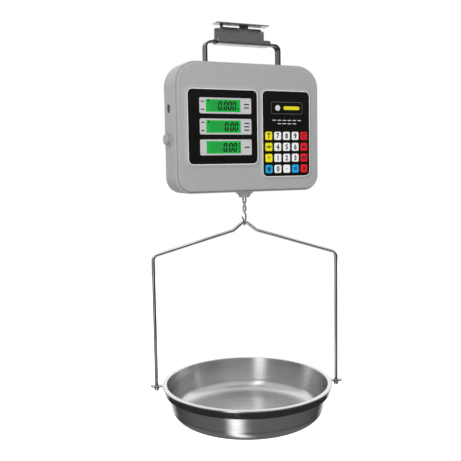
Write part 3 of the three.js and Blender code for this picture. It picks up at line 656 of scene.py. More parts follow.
def glossy_film(name, colour):
    """Polyester front foil: smooth, glossy, with a little orange peel."""
    finish = Finish(name, colour, 0.2, specular=0.35)
    finish.vary_roughness(finish.noise(60, 4), 0.05)
    finish.vary_colour(finish.noise(25), shade(colour, 1.5), 0.4)
    finish.bump(finish.noise(500, 2), 0.01 * MM)
    return finish.material


def brushed_metal(name, colour, roughness, stretch):
    """Sheet metal with brushing lines along one axis, and rubbed patches."""
    finish = Finish(name, colour, roughness, metallic=1.0)
    lines = finish.noise(1, 3, finish.stretched(stretch))
    finish.vary_roughness(lines, 0.1)
    finish.vary_colour(lines, shade(colour, 1.35), 0.5)
    finish.vary_colour(finish.noise(30, 4), shade(colour, 0.75), 0.3)
    finish.bump(lines, 0.02 * MM)
    return finish.material


def polished_rod(name, colour, roughness):
    """Bright drawn wire with faint rings from drawing and small scratches."""
    finish = Finish(name, colour, roughness, metallic=1.0)
    finish.vary_roughness(finish.noise(120, 4), 0.07)
    finish.vary_colour(finish.noise(45, 3), shade(colour, 0.7), 0.5)
    finish.bump(finish.noise(700, 3), 0.01 * MM)
    return finish.material


def spun_steel(name, colour, roughness, anisotropy):
    """Stainless steel polished on a lathe: rings about the vertical axis that stretch reflections."""
    finish = Finish(name, colour, roughness, metallic=1.0, anisotropy=anisotropy)
    rings = finish.noise(1, 2, finish.round_the_axis(2600, 2600, 1.5))
    broad = finish.noise(1, 2, finish.round_the_axis(90, 90, 0.8))
    finish.vary_roughness(broad, 0.035)
    finish.vary_colour(rings, shade(colour, 0.8), 0.8)
    finish.vary_colour(finish.noise(220, 4), shade(colour, 0.9), 0.4)
    finish.bump(rings, 0.006 * MM)
    tangent = finish.new("ShaderNodeTangent", direction_type="RADIAL", axis="Z")
    finish.links.new(tangent.outputs[0], finish.shader.inputs["Tangent"])
    finish.shader.inputs["Anisotropic Rotation"].default_value = 0.25
    return finish.material


def backlit_glass(name, colour, edge):
    """Green backlit display: brighter towards its lit edges."""
    finish = Finish(name, colour, 0.2, specular=0.3)
    across = finish.new("ShaderNodeTexCoord").outputs["Generated"]
    split = finish.new("ShaderNodeSeparateXYZ")
    finish.links.new(across, split.inputs[0])
    ends = []
    for axis in ("X", "Z"):
        off_middle = finish.maths("ABSOLUTE", finish.maths("SUBTRACT", split.outputs[axis], 0.5))
        ends.append(finish.ranged(off_middle, 0, 1, 0.32, 0.5))
    mix = finish.new("ShaderNodeMix", data_type="RGBA")
    mix.inputs["A"].default_value = (*colour, 1)
    mix.inputs["B"].default_value = (*edge, 1)
    finish.links.new(finish.maths("MAXIMUM", *ends), mix.inputs["Factor"])
    finish.links.new(mix.outputs["Result"], finish.shader.inputs["Base Color"])
    finish.links.new(mix.outputs["Result"], finish.shader.inputs["Emission Color"])
    finish.shader.inputs["Emission Strength"].default_value = 0.4
    finish.vary_roughness(finish.noise(90, 3), 0.05)
    return finish.material


def circuit_board(name):
    """Solder mask with copper tracks showing through."""
    finish = Finish(name, (0.012, 0.11, 0.035), 0.35, coat=0.3)
    tracks = finish.new("ShaderNodeTexBrick")
    tracks.inputs["Scale"].default_value = 180
    tracks.inputs["Mortar Size"].default_value = 0.03
    turned_place = finish.new("ShaderNodeMapping")
    turned_place.inputs["Rotation"].default_value = (QUARTER, 0, 0)
    finish.links.new(finish.place, turned_place.inputs["Vector"])
    finish.links.new(turned_place.outputs["Vector"], tracks.inputs["Vector"])
    finish.vary_colour(tracks.outputs["Fac"], (0.05, 0.26, 0.08))
    finish.vary_roughness(finish.noise(200, 3), 0.08)
    finish.bump(tracks.outputs["Fac"], 0.03 * MM)
    return finish.material


CASING = moulded_plastic("grey_abs", (0.42, 0.42, 0.42), 0.5)
BLACK_PLASTIC = moulded_plastic("black_plastic", (0.012, 0.012, 0.012), 0.42)
KEY_WHITE = moulded_plastic("key_white", (0.96, 0.96, 0.96), 0.4, KEY_TEXTURE)
KEY_YELLOW = moulded_plastic("key_yellow", (0.95, 0.84, 0.0), 0.4, KEY_TEXTURE)
KEY_BLUE = moulded_plastic("key_blue", (0.0, 0.42, 0.88), 0.4, KEY_TEXTURE)
KEY_RED = moulded_plastic("key_red", (0.86, 0.0, 0.006), 0.4, KEY_TEXTURE)
LEGEND = moulded_plastic("legend_ink", (0.015, 0.013, 0.013), 0.5, INK_TEXTURE)
PANEL_FILM = glossy_film("black_film", (0.0065, 0.0065, 0.0055))
# The beads round the two front foils are light grey as a painted highlight on the bezel ridges, not a colour of
# their own.
BEAD_PAINTED_HIGHLIGHT = moulded_plastic("bead_painted_highlight", (0.85, 0.85, 0.85), 0.35, INK_TEXTURE)
FRAME_PRINT = moulded_plastic("display_frame", (0.60, 0.59, 0.60), 0.45, 0.008 * MM)
LABEL_INK = moulded_plastic("print_dark", (0.008, 0.008, 0.008), 0.45, INK_TEXTURE)
BADGE_LINE = moulded_plastic("print_grey", (0.12, 0.12, 0.12), 0.45, INK_TEXTURE)
MARK_WHITE = moulded_plastic("print_white", (0.7, 0.7, 0.7), 0.45, INK_TEXTURE)
MARK_YELLOW = moulded_plastic("print_yellow", (0.85, 0.75, 0.01), 0.45, INK_TEXTURE)
GREEN_GLASS = backlit_glass("display_green", (0.014, 0.25, 0.042), (0.004, 0.36, 0.040))
SEGMENT = moulded_plastic("segment_ink", (0.004, 0.001, 0.004), 0.35, INK_TEXTURE)
BRACKET_STEEL = brushed_metal("bracket_steel", (0.46, 0.46, 0.46), 0.30, (60, 60, 2600))
STRAP_STEEL = brushed_metal("strap_steel", (0.07, 0.07, 0.07), 0.34, (2400, 2400, 40))
POLISHED = polished_rod("polished_steel", (0.66, 0.66, 0.66), 0.10)
HOOP_STEEL = polished_rod("hoop_steel", (0.40, 0.40, 0.40), 0.08)
PAN_STEEL = spun_steel("spun_steel", (0.62, 0.62, 0.615), 0.24, 0.8)
ALUMINIUM = brushed_metal("machined_aluminium", (0.62, 0.63, 0.64), 0.35, (40, 2200, 2200))
ZINC = polished_rod("zinc_screw", (0.45, 0.45, 0.44), 0.3)
BOARD = circuit_board("circuit_board")
BATTERY_CASE = moulded_plastic("battery_case", (0.04, 0.04, 0.045), 0.5)

CASE_CORNER = 42 * MM
CASE_LOW_CORNER = 28 * MM
CASE_WALL = 2.5 * MM
STRAP_THICKNESS = 3 * MM
SWITCH_BODY = (7.6 * MM, 12.4 * MM)  # depth and height of the part that passes through the wall
SOCKET_BARREL = 7.5 * MM  # radius of the part that passes through the wall
front = Span("front_cover")
rear = Span("rear_cover")
display = Span("display_panel")
keypad = Span("keypad_panel")
PAD_HEIGHT = 2.5 * MM  # how far the bezels round the two panels stand proud
CASE_FACE = front.low.y + PAD_HEIGHT
PANEL_CORNER = 8.5 * MM
BEAD = 2 * MM  # width of the bead round each front foil, coloured light grey as a painted highlight


# ---------- casing ----------
def case_slab(profile):
    """Slab with the outline of the casing."""
    place = (front.mid.x, front.mid.z, 16, CASE_LOW_CORNER)
    return slab(front.size.x, front.size.z, CASE_CORNER, profile, *place)


def bezel(panel, ramp):
    """Raised pad with soft ramps round a panel."""
    reach = BEAD + ramp
    profile = [(CASE_FACE + 1.5 * MM, 0)]
    steps = 10
    for i in range(steps + 1):
        t = i / steps
        profile.append((CASE_FACE + 0.1 * MM - (PAD_HEIGHT - 0.1 * MM) * smooth(t), ramp * t))
    return slab_over(panel, reach, PANEL_CORNER + reach, profile, 12)


def bead(panel):
    """Rounded bead along the inner edge of a bezel; its light grey colour is a painted highlight on the ridge.
    """
    profile = [(CASE_FACE, 0)] + round_over(front.low.y, 0.7 * MM)
    return cut(slab_over(panel, BEAD, PANEL_CORNER + 1.5 * BEAD, profile, 12), panel_pocket(panel))


def panel_pocket(panel):
    """Room for a panel in its bezel, with a chamfered mouth."""
    mouth, chamfer = front.low.y, 0.3 * MM
    profile = [(panel.high.y + GAP, 0), (mouth + chamfer, 0), (mouth - chamfer, -2 * chamfer)]
    return slab_over(panel, GAP, PANEL_CORNER + GAP, profile, 12)


def opening_behind(low, high):
    """Cut through the cover behind a panel, a little wider than what lies between two corners."""
    margin, before_face = 2 * MM, 5 * MM
    return block((low.x - margin, CASE_FACE - before_face, low.z - margin),
                 (high.x + margin, front.high.y, high.z + margin))


def front_cover():
    seam = front.high.y
    flange_y, flange_round = seam - 2.4 * MM, 2.4 * MM
    rise, rise_round = 3.4 * MM, 2.3 * MM  # inset and edge of the raised middle of the cover
    profile = [(seam, 0.25 * MM), (seam - 0.2 * MM, 0.02 * MM)]
    profile += round_over(flange_y, flange_round, 0.02 * MM, 8)[1:]
    groove = 0.45 * MM
    profile += [(flange_y + groove, flange_round + 0.15 * MM), (flange_y + groove, rise)]
    profile += round_over(CASE_FACE, rise_round, rise, 8)
    body = case_slab(profile)
    body = fused(body, bezel(display, 6.8 * MM), bezel(keypad, 4.3 * MM))
    skin = 2.4 * MM
    room = case_slab([(CASE_FACE + skin, CASE_WALL + rise), (seam + MM, CASE_WALL + rise)])
    lcd_opening = opening_behind(Span("total_lcd").low, Span("weight_lcd").high)
    key_opening = opening_behind(Span("key_print").low, Span("key_clear").high)
    body = cut(body, room, panel_pocket(display), panel_pocket(keypad), lcd_opening, key_opening)
    # The beads carry the light grey painted highlight.
    parts = [(body, CASING), (bead(display), BEAD_PAINTED_HIGHLIGHT), (bead(keypad), BEAD_PAINTED_HIGHLIGHT)]
    piece("front_shell", parts, "head", ["front_cover"])


SCREWS = ["left_low", "left_high", "right_low", "right_high"]


def snout_profile(tip, root, bottom, top):
    """Flared skirt under the casing, from its lip up into the casing's floor."""
    lip = 0.8 * MM
    profile = [(0, bottom)] + arc((tip - lip, bottom + lip), lip, -QUARTER, 0, 4)
    steps = 14
    for i in range(1, steps + 1):
        t = i / steps
        flare = 0.8 * t * t + 0.2 * t
        profile.append((tip + (root - tip) * flare, bottom + (top - bottom) * (0.08 + 0.92 * t)))
    buried = top + 2 * MM
    return profile + [(root, buried), (0, buried)]


def rear_cover():
    seam, back = rear.low.y, rear.high.y
    rounding = 9 * MM
    profile = [(seam, 0.25 * MM), (seam + 0.25 * MM, 0)]
    profile += [(back - rounding + u, rounding - v) for v, u in arc((0, 0), rounding, 0, QUARTER, 12)]
    body = case_slab(profile)
    case_bottom, snout_bottom = front.low.z, rear.low.z
    root, tip, mouth = 19.4 * MM, 9.75 * MM, 7 * MM
    body = fused(body, turned(snout_profile(tip, root, snout_bottom, case_bottom), 64))
    room = [(seam - MM, CASE_WALL)] + round_over(back - CASE_WALL, 8 * MM, CASE_WALL, 3, side=-1)
    floor = case_bottom + CASE_WALL + 0.2 * MM
    wide_mouth = mouth + 0.5 * MM
    throat = [(0, snout_bottom - MM), (wide_mouth, snout_bottom - MM), (wide_mouth, snout_bottom),
              (mouth, snout_bottom + 0.6 * MM), (mouth, snout_bottom + 2 * MM), (15 * MM, floor), (0, floor)]
    body = cut(body, case_slab(room), turned(throat, 64))
    bosses, holes = [], []
    for name in SCREWS:
        screw = Span("case_screw_" + name)
        centre = (screw.mid.x, 0, screw.mid.z)
        bosses.append(drum(6 * MM, -14 * MM, back - MM, centre, "y"))
        holes.append(drum(2.3 * MM, -15 * MM, back, centre, "y"))
        holes.append(drum(4.4 * MM, back - 6 * MM, back + MM, centre, "y"))
    door = Span("battery_door")
    ledge = 4 * MM
    corner = 5 * MM
    chamfer = 0.4 * MM
    frame_ring = slab_over(door, ledge, corner + ledge, [(back - 5 * MM, 0), (back - MM, 0)])
    body = fused(body, frame_ring, *bosses)
    recess_profile = [(door.low.y - GAP, 0), (back - chamfer, 0), (back + chamfer, -2 * chamfer)]
    recess = slab_over(door, GAP, corner + GAP, recess_profile)
    opening = slab_over(door, -ledge, corner, [(back - 8 * MM, 0), (back + MM, 0)])
    strap = Span("carry_strap")
    slots = []
    wide, deep, top = STRAP_THICKNESS / 2 + GAP, strap.size.y / 2 + GAP, front.high.z
    for side in (-1, 1):
        leg = side * (strap.high.x - STRAP_THICKNESS / 2)
        slots.append(block((leg - wide, -deep, top - 5 * MM), (leg + wide, deep, top + MM)))
    switch, socket = Span("switch_body"), Span("charge_socket")
    left = front.low.x
    deep, high = SWITCH_BODY[0] / 2 + GAP, SWITCH_BODY[1] / 2 + GAP
    slots.append(block((left - MM, switch.mid.y - deep, switch.mid.z - high),
                       (left + 5 * MM, switch.mid.y + deep, switch.mid.z + high)))
    socket_at = (0, socket.mid.y, socket.mid.z)
    slots.append(drum(SOCKET_BARREL + GAP, left - MM, left + 5 * MM, socket_at, "x"))
    body = cut(body, recess, opening, *holes, *slots)
    piece("rear_shell", [(body, CASING)], "head", ["rear_cover"])


def battery_door():
    """Snap-in door with grip grooves for a thumb."""
    door = Span("battery_door")
    back = door.high.y
    profile = [(door.low.y, 0)] + round_over(back, 0.6 * MM, side=-1)
    body = slab_over(door, 0, 5 * MM, profile)
    groove_profile = [(back - 0.7 * MM, 0.2 * MM), (back + MM, 0)]
    grooves = []
    for i in range(6):
        z = door.high.z - (9 + 3 * i) * MM
        grooves.append(slab(30 * MM, 1.2 * MM, 0.6 * MM, groove_profile, door.mid.x, z))
    body = cut(body, *grooves)
    piece("battery_hatch", [(body, CASING)], "head", ["battery_door"])


def case_screws():
    head_radius, dome = 3.8 * MM, 1.3 * MM
    long_arm, thin_arm = 2.2 * MM, 0.5 * MM
    for name in SCREWS:
        node = "case_screw_" + name
        screw = Span(node)
        back = screw.high.y
        x, z = screw.mid.x, screw.mid.z
        head = [(0, back - 2 * dome), (head_radius, back - 2 * dome), (head_radius, back - dome)]
        head += arc((head_radius - dome, back - dome), dome, 0, QUARTER, 5) + [(0, back)]
        shank = drum(1.9 * MM, screw.low.y, back - 2 * MM, (x, 0, z), "y", 0.3 * MM, 24)
        body = fused(turned(head, 32, (x, 0, z), "y"), shank)
        cross = [block((x - wide, back - 1.2 * MM, z - high), (x + wide, back + MM, z + high))
                 for wide, high in ((long_arm, thin_arm), (thin_arm, long_arm))]
        piece("screw_" + name, [(cut(body, *cross), ZINC)], "head", [node])


# ---------- displays ----------
LCD_NAMES = ["weight_lcd", "unit_price_lcd", "total_lcd"]
GREEN_OFFSET = -4.5 * MM  # of the green area from the middle of its frame
GREEN_SIZE = (66.8 * MM, 21.7 * MM)
DIGIT = {"height": 16.6 * MM, "width": 7.5 * MM, "stroke": 2.5 * MM, "pitch": 8.6 * MM}
DIGIT_SLANT = math.tan(math.radians(5))
# What each display reads, and how far the last digit stays from the right edge.
READINGS = {
    "weight_lcd": ("0.000", 8.1 * MM),
    "unit_price_lcd": ("0.00", 4.4 * MM),
    "total_lcd": ("0.00", 7.6 * MM),
}
RIGHT_LABEL_ROWS = {"weight_lcd": (3, -3), "unit_price_lcd": (6, 0, -6), "total_lcd": (0,)}


def bar(x0, z0, x1, z1, stroke, front, slant, base):
    """Thin display segment with pointed ends between two points."""
    along = Vector((x1 - x0, z1 - z0))
    length = along.length
    u = along / length
    v = Vector((-u.y, u.x))
    half = stroke / 2
    middle = Vector(((x0 + x1) / 2, (z0 + z1) / 2))
    outline = [(-length / 2, 0), (-length / 2 + half, -half), (length / 2 - half, -half), (length / 2, 0),
               (length / 2 - half, half), (-length / 2 + half, half)]
    ring = [middle + u * a + v * b for a, b in outline]
    depth = 0.12 * MM
    rings = [[(p.x + slant * (p.y - base), y, p.y) for p in ring] for y in (front, front - depth)]
    return loft(rings)


def zero_digit(left, bottom, front):
    """The six lit segments of a 0."""
    w, h, s = DIGIT["width"], DIGIT["height"], DIGIT["stroke"]
    clear = 0.25 * MM
    inner = s / 2
    low, middle, high = bottom + inner, bottom + h / 2, bottom + h - inner
    west, east = left + inner, left + w - inner
    lines = [(west + clear, low, east - clear, low), (west + clear, high, east - clear, high)]
    for x in (west, east):
        lines += [(x, low + clear, x, middle - clear), (x, middle + clear, x, high - clear)]
    return [bar(*line, s, front, DIGIT_SLANT, bottom) for line in lines]


def dot(x, z, size, front):
    """Small square mark with rounded corners."""
    return slab(size, size, size / 3, [(front, 0), (front - 0.12 * MM, 0)], x, z, steps=3)


def triangle(x, z, size, front):
    """Pointer of a display, with its tip down."""
    rings = [[(x - size / 2, y, z + size / 2), (x, y, z - size / 2), (x + size / 2, y, z + size / 2)]
             for y in (front, front - 0.12 * MM)]
    return loft(rings)


def display_module(name):
    """Frame, lit glass and digits of one display."""
    lcd = Span(name)
    recess = 0.9 * MM
    edge = 0.3 * MM
    profile = [(lcd.high.y, 0), (lcd.low.y + edge, 0), (lcd.low.y, edge)]
    body = slab_over(lcd, 0, 2.7 * MM, profile)
    green_x = lcd.mid.x + GREEN_OFFSET
    floor = lcd.low.y + recess
    window_profile = [(floor, 0), (lcd.low.y - MM, -0.5 * MM)]
    body = cut(body, slab(*GREEN_SIZE, 0.5 * MM, window_profile, green_x, lcd.mid.z, 3))
    glass_face = lcd.low.y + 0.5 * MM
    inset = 0.05 * MM
    glass = slab(GREEN_SIZE[0] - 2 * inset, GREEN_SIZE[1] - 2 * inset, 0.4 * MM,
                 [(floor + 0.1 * MM, 0), (glass_face, 0)], green_x, lcd.mid.z, steps=3)
    marks = []
    reading, margin = READINGS[name]
    right = green_x + GREEN_SIZE[0] / 2
    bottom = lcd.mid.z - DIGIT["height"] / 2
    x = right - margin - DIGIT["width"] - 0.8 * MM
    for sign in reversed(reading):
        if sign == ".":
            x -= 2.2 * MM
            marks.append(dot(x + DIGIT["pitch"] - 0.4 * MM, bottom + MM, 2.2 * MM, glass_face))
            continue
        marks += zero_digit(x, bottom, glass_face)
        x -= DIGIT["pitch"]
    left, top = green_x - GREEN_SIZE[0] / 2, lcd.mid.z + GREEN_SIZE[1] / 2
    if name == "total_lcd":
        for i in range(4):
            marks.append(dot(right - 2.9 * MM, top - (4.6 + 4.6 * i) * MM, 2.5 * MM, glass_face))
    else:
        marks.append(triangle(left + 4.8 * MM, top - 3.2 * MM, 4.2 * MM, glass_face))
    if name == "weight_lcd":
        marks.append(triangle(right - 5 * MM, lcd.mid.z - 6 * MM, 3.4 * MM, glass_face))
    # Plain strokes stand where a real scale prints its labels.
    labels = []
    face = lcd.low.y
    print_layer = [(face + edge, 0), (face - 0.05 * MM, 0)]
    for row in RIGHT_LABEL_ROWS[name]:
        spot = (lcd.high.x - 9.5 * MM, lcd.mid.z + row * MM)
        labels.append(slab(10 * MM, 2.2 * MM, 0.3 * MM, print_layer, *spot, 2))
    if name != "total_lcd":
        for row in (7, -7):
            spot = (lcd.low.x + 6 * MM, lcd.mid.z + row * MM)
            labels.append(slab(6 * MM, 2.0 * MM, 0.3 * MM, print_layer, *spot, 2))
    parts = [(body, FRAME_PRINT)] + [(m, LABEL_INK) for m in labels]
    piece(name + "_frame", parts, "head", [name])
    piece(name + "_glass", [(glass, GREEN_GLASS)], "head")
    piece(name + "_digits", [(m, SEGMENT) for m in marks], "head")


def foil(panel):
    """Front foil with softly rounded edges."""
    profile = [(panel.high.y, 0)] + round_over(panel.low.y, 0.35 * MM)
    return slab_over(panel, 0, PANEL_CORNER, profile, 12)


def display_panel():
    body = foil(display)
    face, chamfer = display.low.y, 0.2 * MM
    profile = [(display.high.y + MM, 0), (face + chamfer, 0), (face - chamfer, -2 * chamfer)]
    windows = [slab_over(Span(name), GAP, 3 * MM, profile) for name in LCD_NAMES]
    piece("display_foil", [(cut(body, *windows), PANEL_FILM)], "head", ["display_panel"])
    for name in LCD_NAMES:
        display_module(name)


# ---------- keypad ----------
KEY_CORNER = 2.9 * MM
KEY_TRIM = 0.4 * MM  # how much smaller all round the printed caps are than their pads
KEY_COLUMNS = [
    [("key_tare", "T"), ("key_zero", ">0<"), ("key_light", "*"), ("key_print", "#")],
    [("key_7", "7"), ("key_4", "4"), ("key_1", "1"), ("key_0", "0")],
    [("key_8", "8"), ("key_5", "5"), ("key_2", "2"), ("key_point", ".")],
    [("key_9", "9"), ("key_6", "6"), ("key_3", "3"), ("key_change", "=")],
    [("key_clear", "C"), ("key_memory_1", "M1"), ("key_memory_2", "M2"), ("key_total", "+")],
]
KEY_COLOURS = {"key_yellow": KEY_YELLOW, "key_white": KEY_WHITE, "key_blue": KEY_BLUE, "key_red": KEY_RED}


def key_slot(name, column):
    """Material slot of a key: the first column is yellow and the last red, but for two blue keys."""
    if name in ("key_print", "key_change"):
        return "key_blue"
    return {0: "key_yellow", len(KEY_COLUMNS) - 1: "key_red"}.get(column, "key_white")


def key_body(node):
    """The CAD body that a node belongs to."""
    return frame["nodes"][node]["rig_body"]


def make_key(name, legend, column):
    """Printed cap with its sign."""
    key = Span(name)
    ink = 0.05 * MM
    face = key.low.y + ink
    profile = [(key.high.y, KEY_TRIM)] + round_over(face, 0.55 * MM, KEY_TRIM)
    body = slab_over(key, 0, KEY_CORNER, profile)
    slot = key_slot(name, column)
    height = 8.8 * MM if len(legend) == 1 else 5.4 * MM
    sign = glyph(legend, height, key.mid.x, face + 0.02 * MM, key.mid.z, ink + 0.02 * MM, 0.85)
    piece(name + "_cap", [(body, KEY_COLOURS[slot]), (sign, LEGEND)], key_body(name), [name])


def keypad_panel():
    body = foil(keypad)
    through = [(keypad.high.y + MM, 0), (keypad.low.y - MM, 0)]
    clear = GAP - KEY_TRIM
    windows = []
    for column, keys in enumerate(KEY_COLUMNS):
        for name, legend in keys:
            windows.append(slab_over(Span(name), clear, KEY_CORNER + clear, through, 5))
            make_key(name, legend, column)
    body = cut(body, *windows)
    # Plain badge: an outline, a round spot and a bar, with two rows of plain strokes under it.
    face = keypad.low.y
    lift = 0.06 * MM
    badge_x, badge_z = keypad.mid.x + 1.2 * MM, keypad.high.z - 30 * MM
    wide, high, corner = 65.6 * MM, 22 * MM, 3 * MM
    line = 0.8 * MM
    sunk = face + 0.2 * MM
    layer = [(sunk, 0), (face - lift, 0)]
    through = [(face + MM, 0), (face - MM, 0)]
    inner = slab(wide - 2 * line, high - 2 * line, corner - line, through, badge_x, badge_z)
    outline = cut(slab(wide, high, corner, layer, badge_x, badge_z), inner)
    radius = 5.2 * MM
    spot = turned([(0, sunk), (radius, sunk), (radius, face - lift), (0, face - lift)], 32,
                  (badge_x - 19 * MM, 0, badge_z), "y")
    stripe = slab(34 * MM, 6.5 * MM, 3.25 * MM, layer, badge_x + 10 * MM, badge_z)
    strokes = []
    for row, count in ((0, 6), (1, 4)):
        for i in range(count):
            x = badge_x + (i - (count - 1) / 2) * 10.5 * MM
            z = badge_z - (22.5 + 6 * row) * MM
            strokes.append(slab(7.5 * MM, 1.5 * MM, 0.5 * MM, layer, x, z, 2))
    parts = [(body, PANEL_FILM), (outline, BADGE_LINE), (spot, MARK_WHITE), (stripe, MARK_YELLOW)]
    parts += [(s, MARK_WHITE) for s in strokes]
    piece("keypad_foil", parts, "head", ["keypad_panel"])


# ---------- bracket and strap ----------
STEEL = 2 * MM
PLATE_FRONT = -6 * MM
SCREW_LINE = 2 * MM  # where the two ceiling screws go, in Y
TAB_TOP, TAB_FOOT = -4.4 * MM, -20 * MM


def corner_waste(x, z, radius, side, y0, y1):
    """What rounding an upper corner takes away; side is 1 for a right-hand corner."""
    waste = block((min(x, x - side * radius) - (side < 0) * MM, y0, z - radius),
                  (max(x, x - side * radius) + (side > 0) * MM, y1, z + MM))
    reach = 2 * MM
    return cut(waste, drum(radius, y0 - reach, y1 + reach, (x - side * radius, 0, z - radius), "y"))


def ceiling_bracket():
    """Folded sheet: top plate, web with two windows and tabs behind them, and a trough for the strap."""
    box = Span("ceiling_bracket")
    back, width = 12.5 * MM, 101 * MM
    lip_top = -29.3 * MM
    web_y = back - STEEL / 2
    lip_y = web_y - 23 * MM
    floor = box.low.z + STEEL / 2
    plate_z = -STEEL / 2
    corners = [(PLATE_FRONT, plate_z), (web_y, plate_z), (web_y, floor), (lip_y, floor), (lip_y, lip_top)]
    line = bent_line(corners, [2.2 * MM] * 3, 6)
    path = [Vector((0, y, z)) for y, z in line]
    body = strip(path, (1, 0, 0), box.size.x, STEEL, 0.35 * MM)
    low, high = min(PLATE_FRONT, lip_y - STEEL) - MM, back + MM
    tools = []
    shoulder = lip_top + MM
    notch_floor, sill = -8 * MM, -15 * MM
    web = (back - STEEL - MM, high)
    for side, neck in ((-1, -39 * MM), (1, 45 * MM)):
        ends = sorted((side * width / 2, side * box.size.x))
        tools.append(block((ends[0], low, shoulder), (ends[1], high, -STEEL - GAP)))
        ends = sorted((neck, side * (width / 2 + MM)))
        tools.append(block((ends[0], web[0], notch_floor), (ends[1], web[1], -STEEL - GAP)))
        tools.append(corner_waste(side * width / 2, notch_floor, 4 * MM, side, *web))
        tools.append(corner_waste(side * box.size.x / 2, lip_top, 4 * MM, side, lip_y - STEEL, lip_y + STEEL))
        tools.append(drum(3.2 * MM, -STEEL - MM, MM, (side * 30 * MM, SCREW_LINE, 0), "z"))
    for x0, x1 in ((-33 * MM, 0), (18 * MM, 46 * MM)):
        height = -STEEL - GAP - sill
        window = slab(x1 - x0, 2 * height, 3 * MM, [(web[0], 0), (web[1], 0)], (x0 + x1) / 2, sill + height)
        above = block((x0 - MM, web[0] - MM, sill + height), (x1 + MM, web[1] + MM, sill + 3 * height))
        tools.append(cut(window, above))
    body = cut(body, *tools)
    tabs = []
    for x0, x1 in ((-33.5 * MM, 1.5 * MM), (17.2 * MM, 46.5 * MM)):
        sheet = [(back + 1.2 * MM, 0), (back + 2.7 * MM, 0)]
        tab_middle = ((x0 + x1) / 2, (TAB_TOP + TAB_FOOT) / 2)
        tabs.append(slab(x1 - x0, TAB_TOP - TAB_FOOT, 2 * MM, sheet, *tab_middle))
        tabs.append(block((x0 + MM, back - MM, TAB_FOOT), (x1 - MM, back + 2 * MM, TAB_FOOT + 3 * MM)))
    parts = [(fused(body, *tabs), BRACKET_STEEL)]
    piece("hanger_bracket", parts, "bracket", ["ceiling_bracket"], bevel=0.25 * MM)


def carry_strap():
    """Flat bar bent to an upside-down U, riveted to the beam inside the casing."""
    box = Span("carry_strap")
    leg, top = box.high.x - STRAP_THICKNESS / 2, box.high.z - STRAP_THICKNESS / 2
    line = bent_line([(-leg, box.low.z), (-leg, top), (leg, top), (leg, box.low.z)], [10.5 * MM] * 2, 12)
    path = [Vector((x, 0, z)) for x, z in line]
    body = strip(path, (0, 1, 0), box.size.y, STRAP_THICKNESS, 0.6 * MM)
    rivet, reach = Span("strap_rivet_left"), 3 * MM
    holes = [drum(3.3 * MM, x - reach, x + reach, (0, 0, rivet.mid.z), "x") for x in (-leg, leg)]
    piece("hanging_strap", [(cut(body, *holes), STRAP_STEEL)], "head", ["carry_strap"])


# ---------- side controls ----------
def side_controls():
    """Power switch and capped charging socket in the left wall."""
    switch, rocker = Span("switch_body"), Span("power_rocker")
    left = front.low.x
    face = switch.low.x
    y, z = switch.mid.y, switch.mid.z
    turn = Matrix.Translation((face, y, z)) @ Matrix.Rotation(-QUARTER, 4, "Z")
    frame_plate = slab(switch.size.y, switch.size.z, MM, [(0.8 * MM, 0)] + round_over(0, 0.4 * MM))
    well = slab(6 * MM, 11.2 * MM, 0.5 * MM, [(-MM, 0), (5.2 * MM, 0)])
    rear_box = slab(*SWITCH_BODY, 0.5 * MM, [(0.5 * MM, 0), (switch.size.x, 0)])
    body = cut(fused(frame_plate, rear_box), well)
    body.transform(turn)
    piece("switch_housing", [(body, BLACK_PLASTIC)], "head", ["switch_body"])

    height, tilt = 10 * MM, math.radians(5)
    outline = [(height / 2, 0.5 * MM), (0, 0.1 * MM), (-height / 2, 0.5 * MM), (-height / 2 + 0.6 * MM, -MM),
               (0, -3 * MM), (height / 2 - 0.6 * MM, -MM)]
    spun = [Matrix.Rotation(tilt, 2) @ Vector(p) for p in outline]
    rings = [[(face - p.y, side, z + p.x) for p in spun] for side in (rocker.low.y, rocker.high.y)]
    piece("switch_rocker", [(loft(rings), BLACK_PLASTIC)], "switch_rocker", ["power_rocker"],
          bevel=0.2 * MM)

    socket, cap = Span("charge_socket"), Span("socket_cap")
    y, z = socket.mid.y, socket.mid.z
    flange = drum(13 * MM, left - GAP - 1.2 * MM, left - GAP, (0, y, z), "x", 0.4 * MM, 64)
    barrel = drum(SOCKET_BARREL, socket.low.x, socket.high.x, (0, y, z), "x", 0.3 * MM, 48)
    bore = drum(4.5 * MM, socket.low.x - MM, socket.high.x - 2 * MM, (0, y, z), "x")
    pin = drum(MM, socket.low.x + MM, socket.high.x - MM, (0, y, z), "x", 0.3 * MM, 24)
    body = fused(cut(fused(flange, barrel), bore), pin)
    piece("socket_shell", [(body, CASING)], "head", ["charge_socket"])

    shell = drum(9 * MM, cap.low.x, cap.high.x, (0, y, z), "x", 0.9 * MM, 64)
    hollow = drum(5.5 * MM, cap.low.x + 2.9 * MM, cap.high.x + MM, (0, y, z), "x")
    ribs = []
    grooves, groove_ring = 24, 9.2 * MM
    for i in range(grooves):
        angle = 2 * math.pi * i / grooves
        centre = (0, y + groove_ring * math.cos(angle), z + groove_ring * math.sin(angle))
        ribs.append(drum(0.45 * MM, cap.low.x + 1.2 * MM, cap.high.x + MM, centre, "x", 0, 12))
    body = cut(shell, hollow, *ribs)
    piece("dust_cap", [(body, CASING)], "bayonet_cap", ["socket_cap"])


# ---------- hanging gear ----------
HANG_YAW = math.radians(-21)
HANG = Matrix.Rotation(HANG_YAW, 4, "Z")


def hung(mesh):
    """The hanging gear has turned on its swivel."""
    mesh.transform(HANG)
    return mesh


def ring_of(radius, wire, centre):
    """Ring in the Y-Z plane."""
    segments, sides = 48, 16
    rings = []
    for i in range(segments):
        angle = 2 * math.pi * i / segments
        outward = Vector((0, math.cos(angle), math.sin(angle)))
        spot = Vector(centre) + outward * radius
        rings.append([spot + outward * (wire * math.cos(a)) + Vector((wire * math.sin(a), 0, 0))
                      for a in (2 * math.pi * k / sides for k in range(sides))])
    return loft(rings, looped=True)


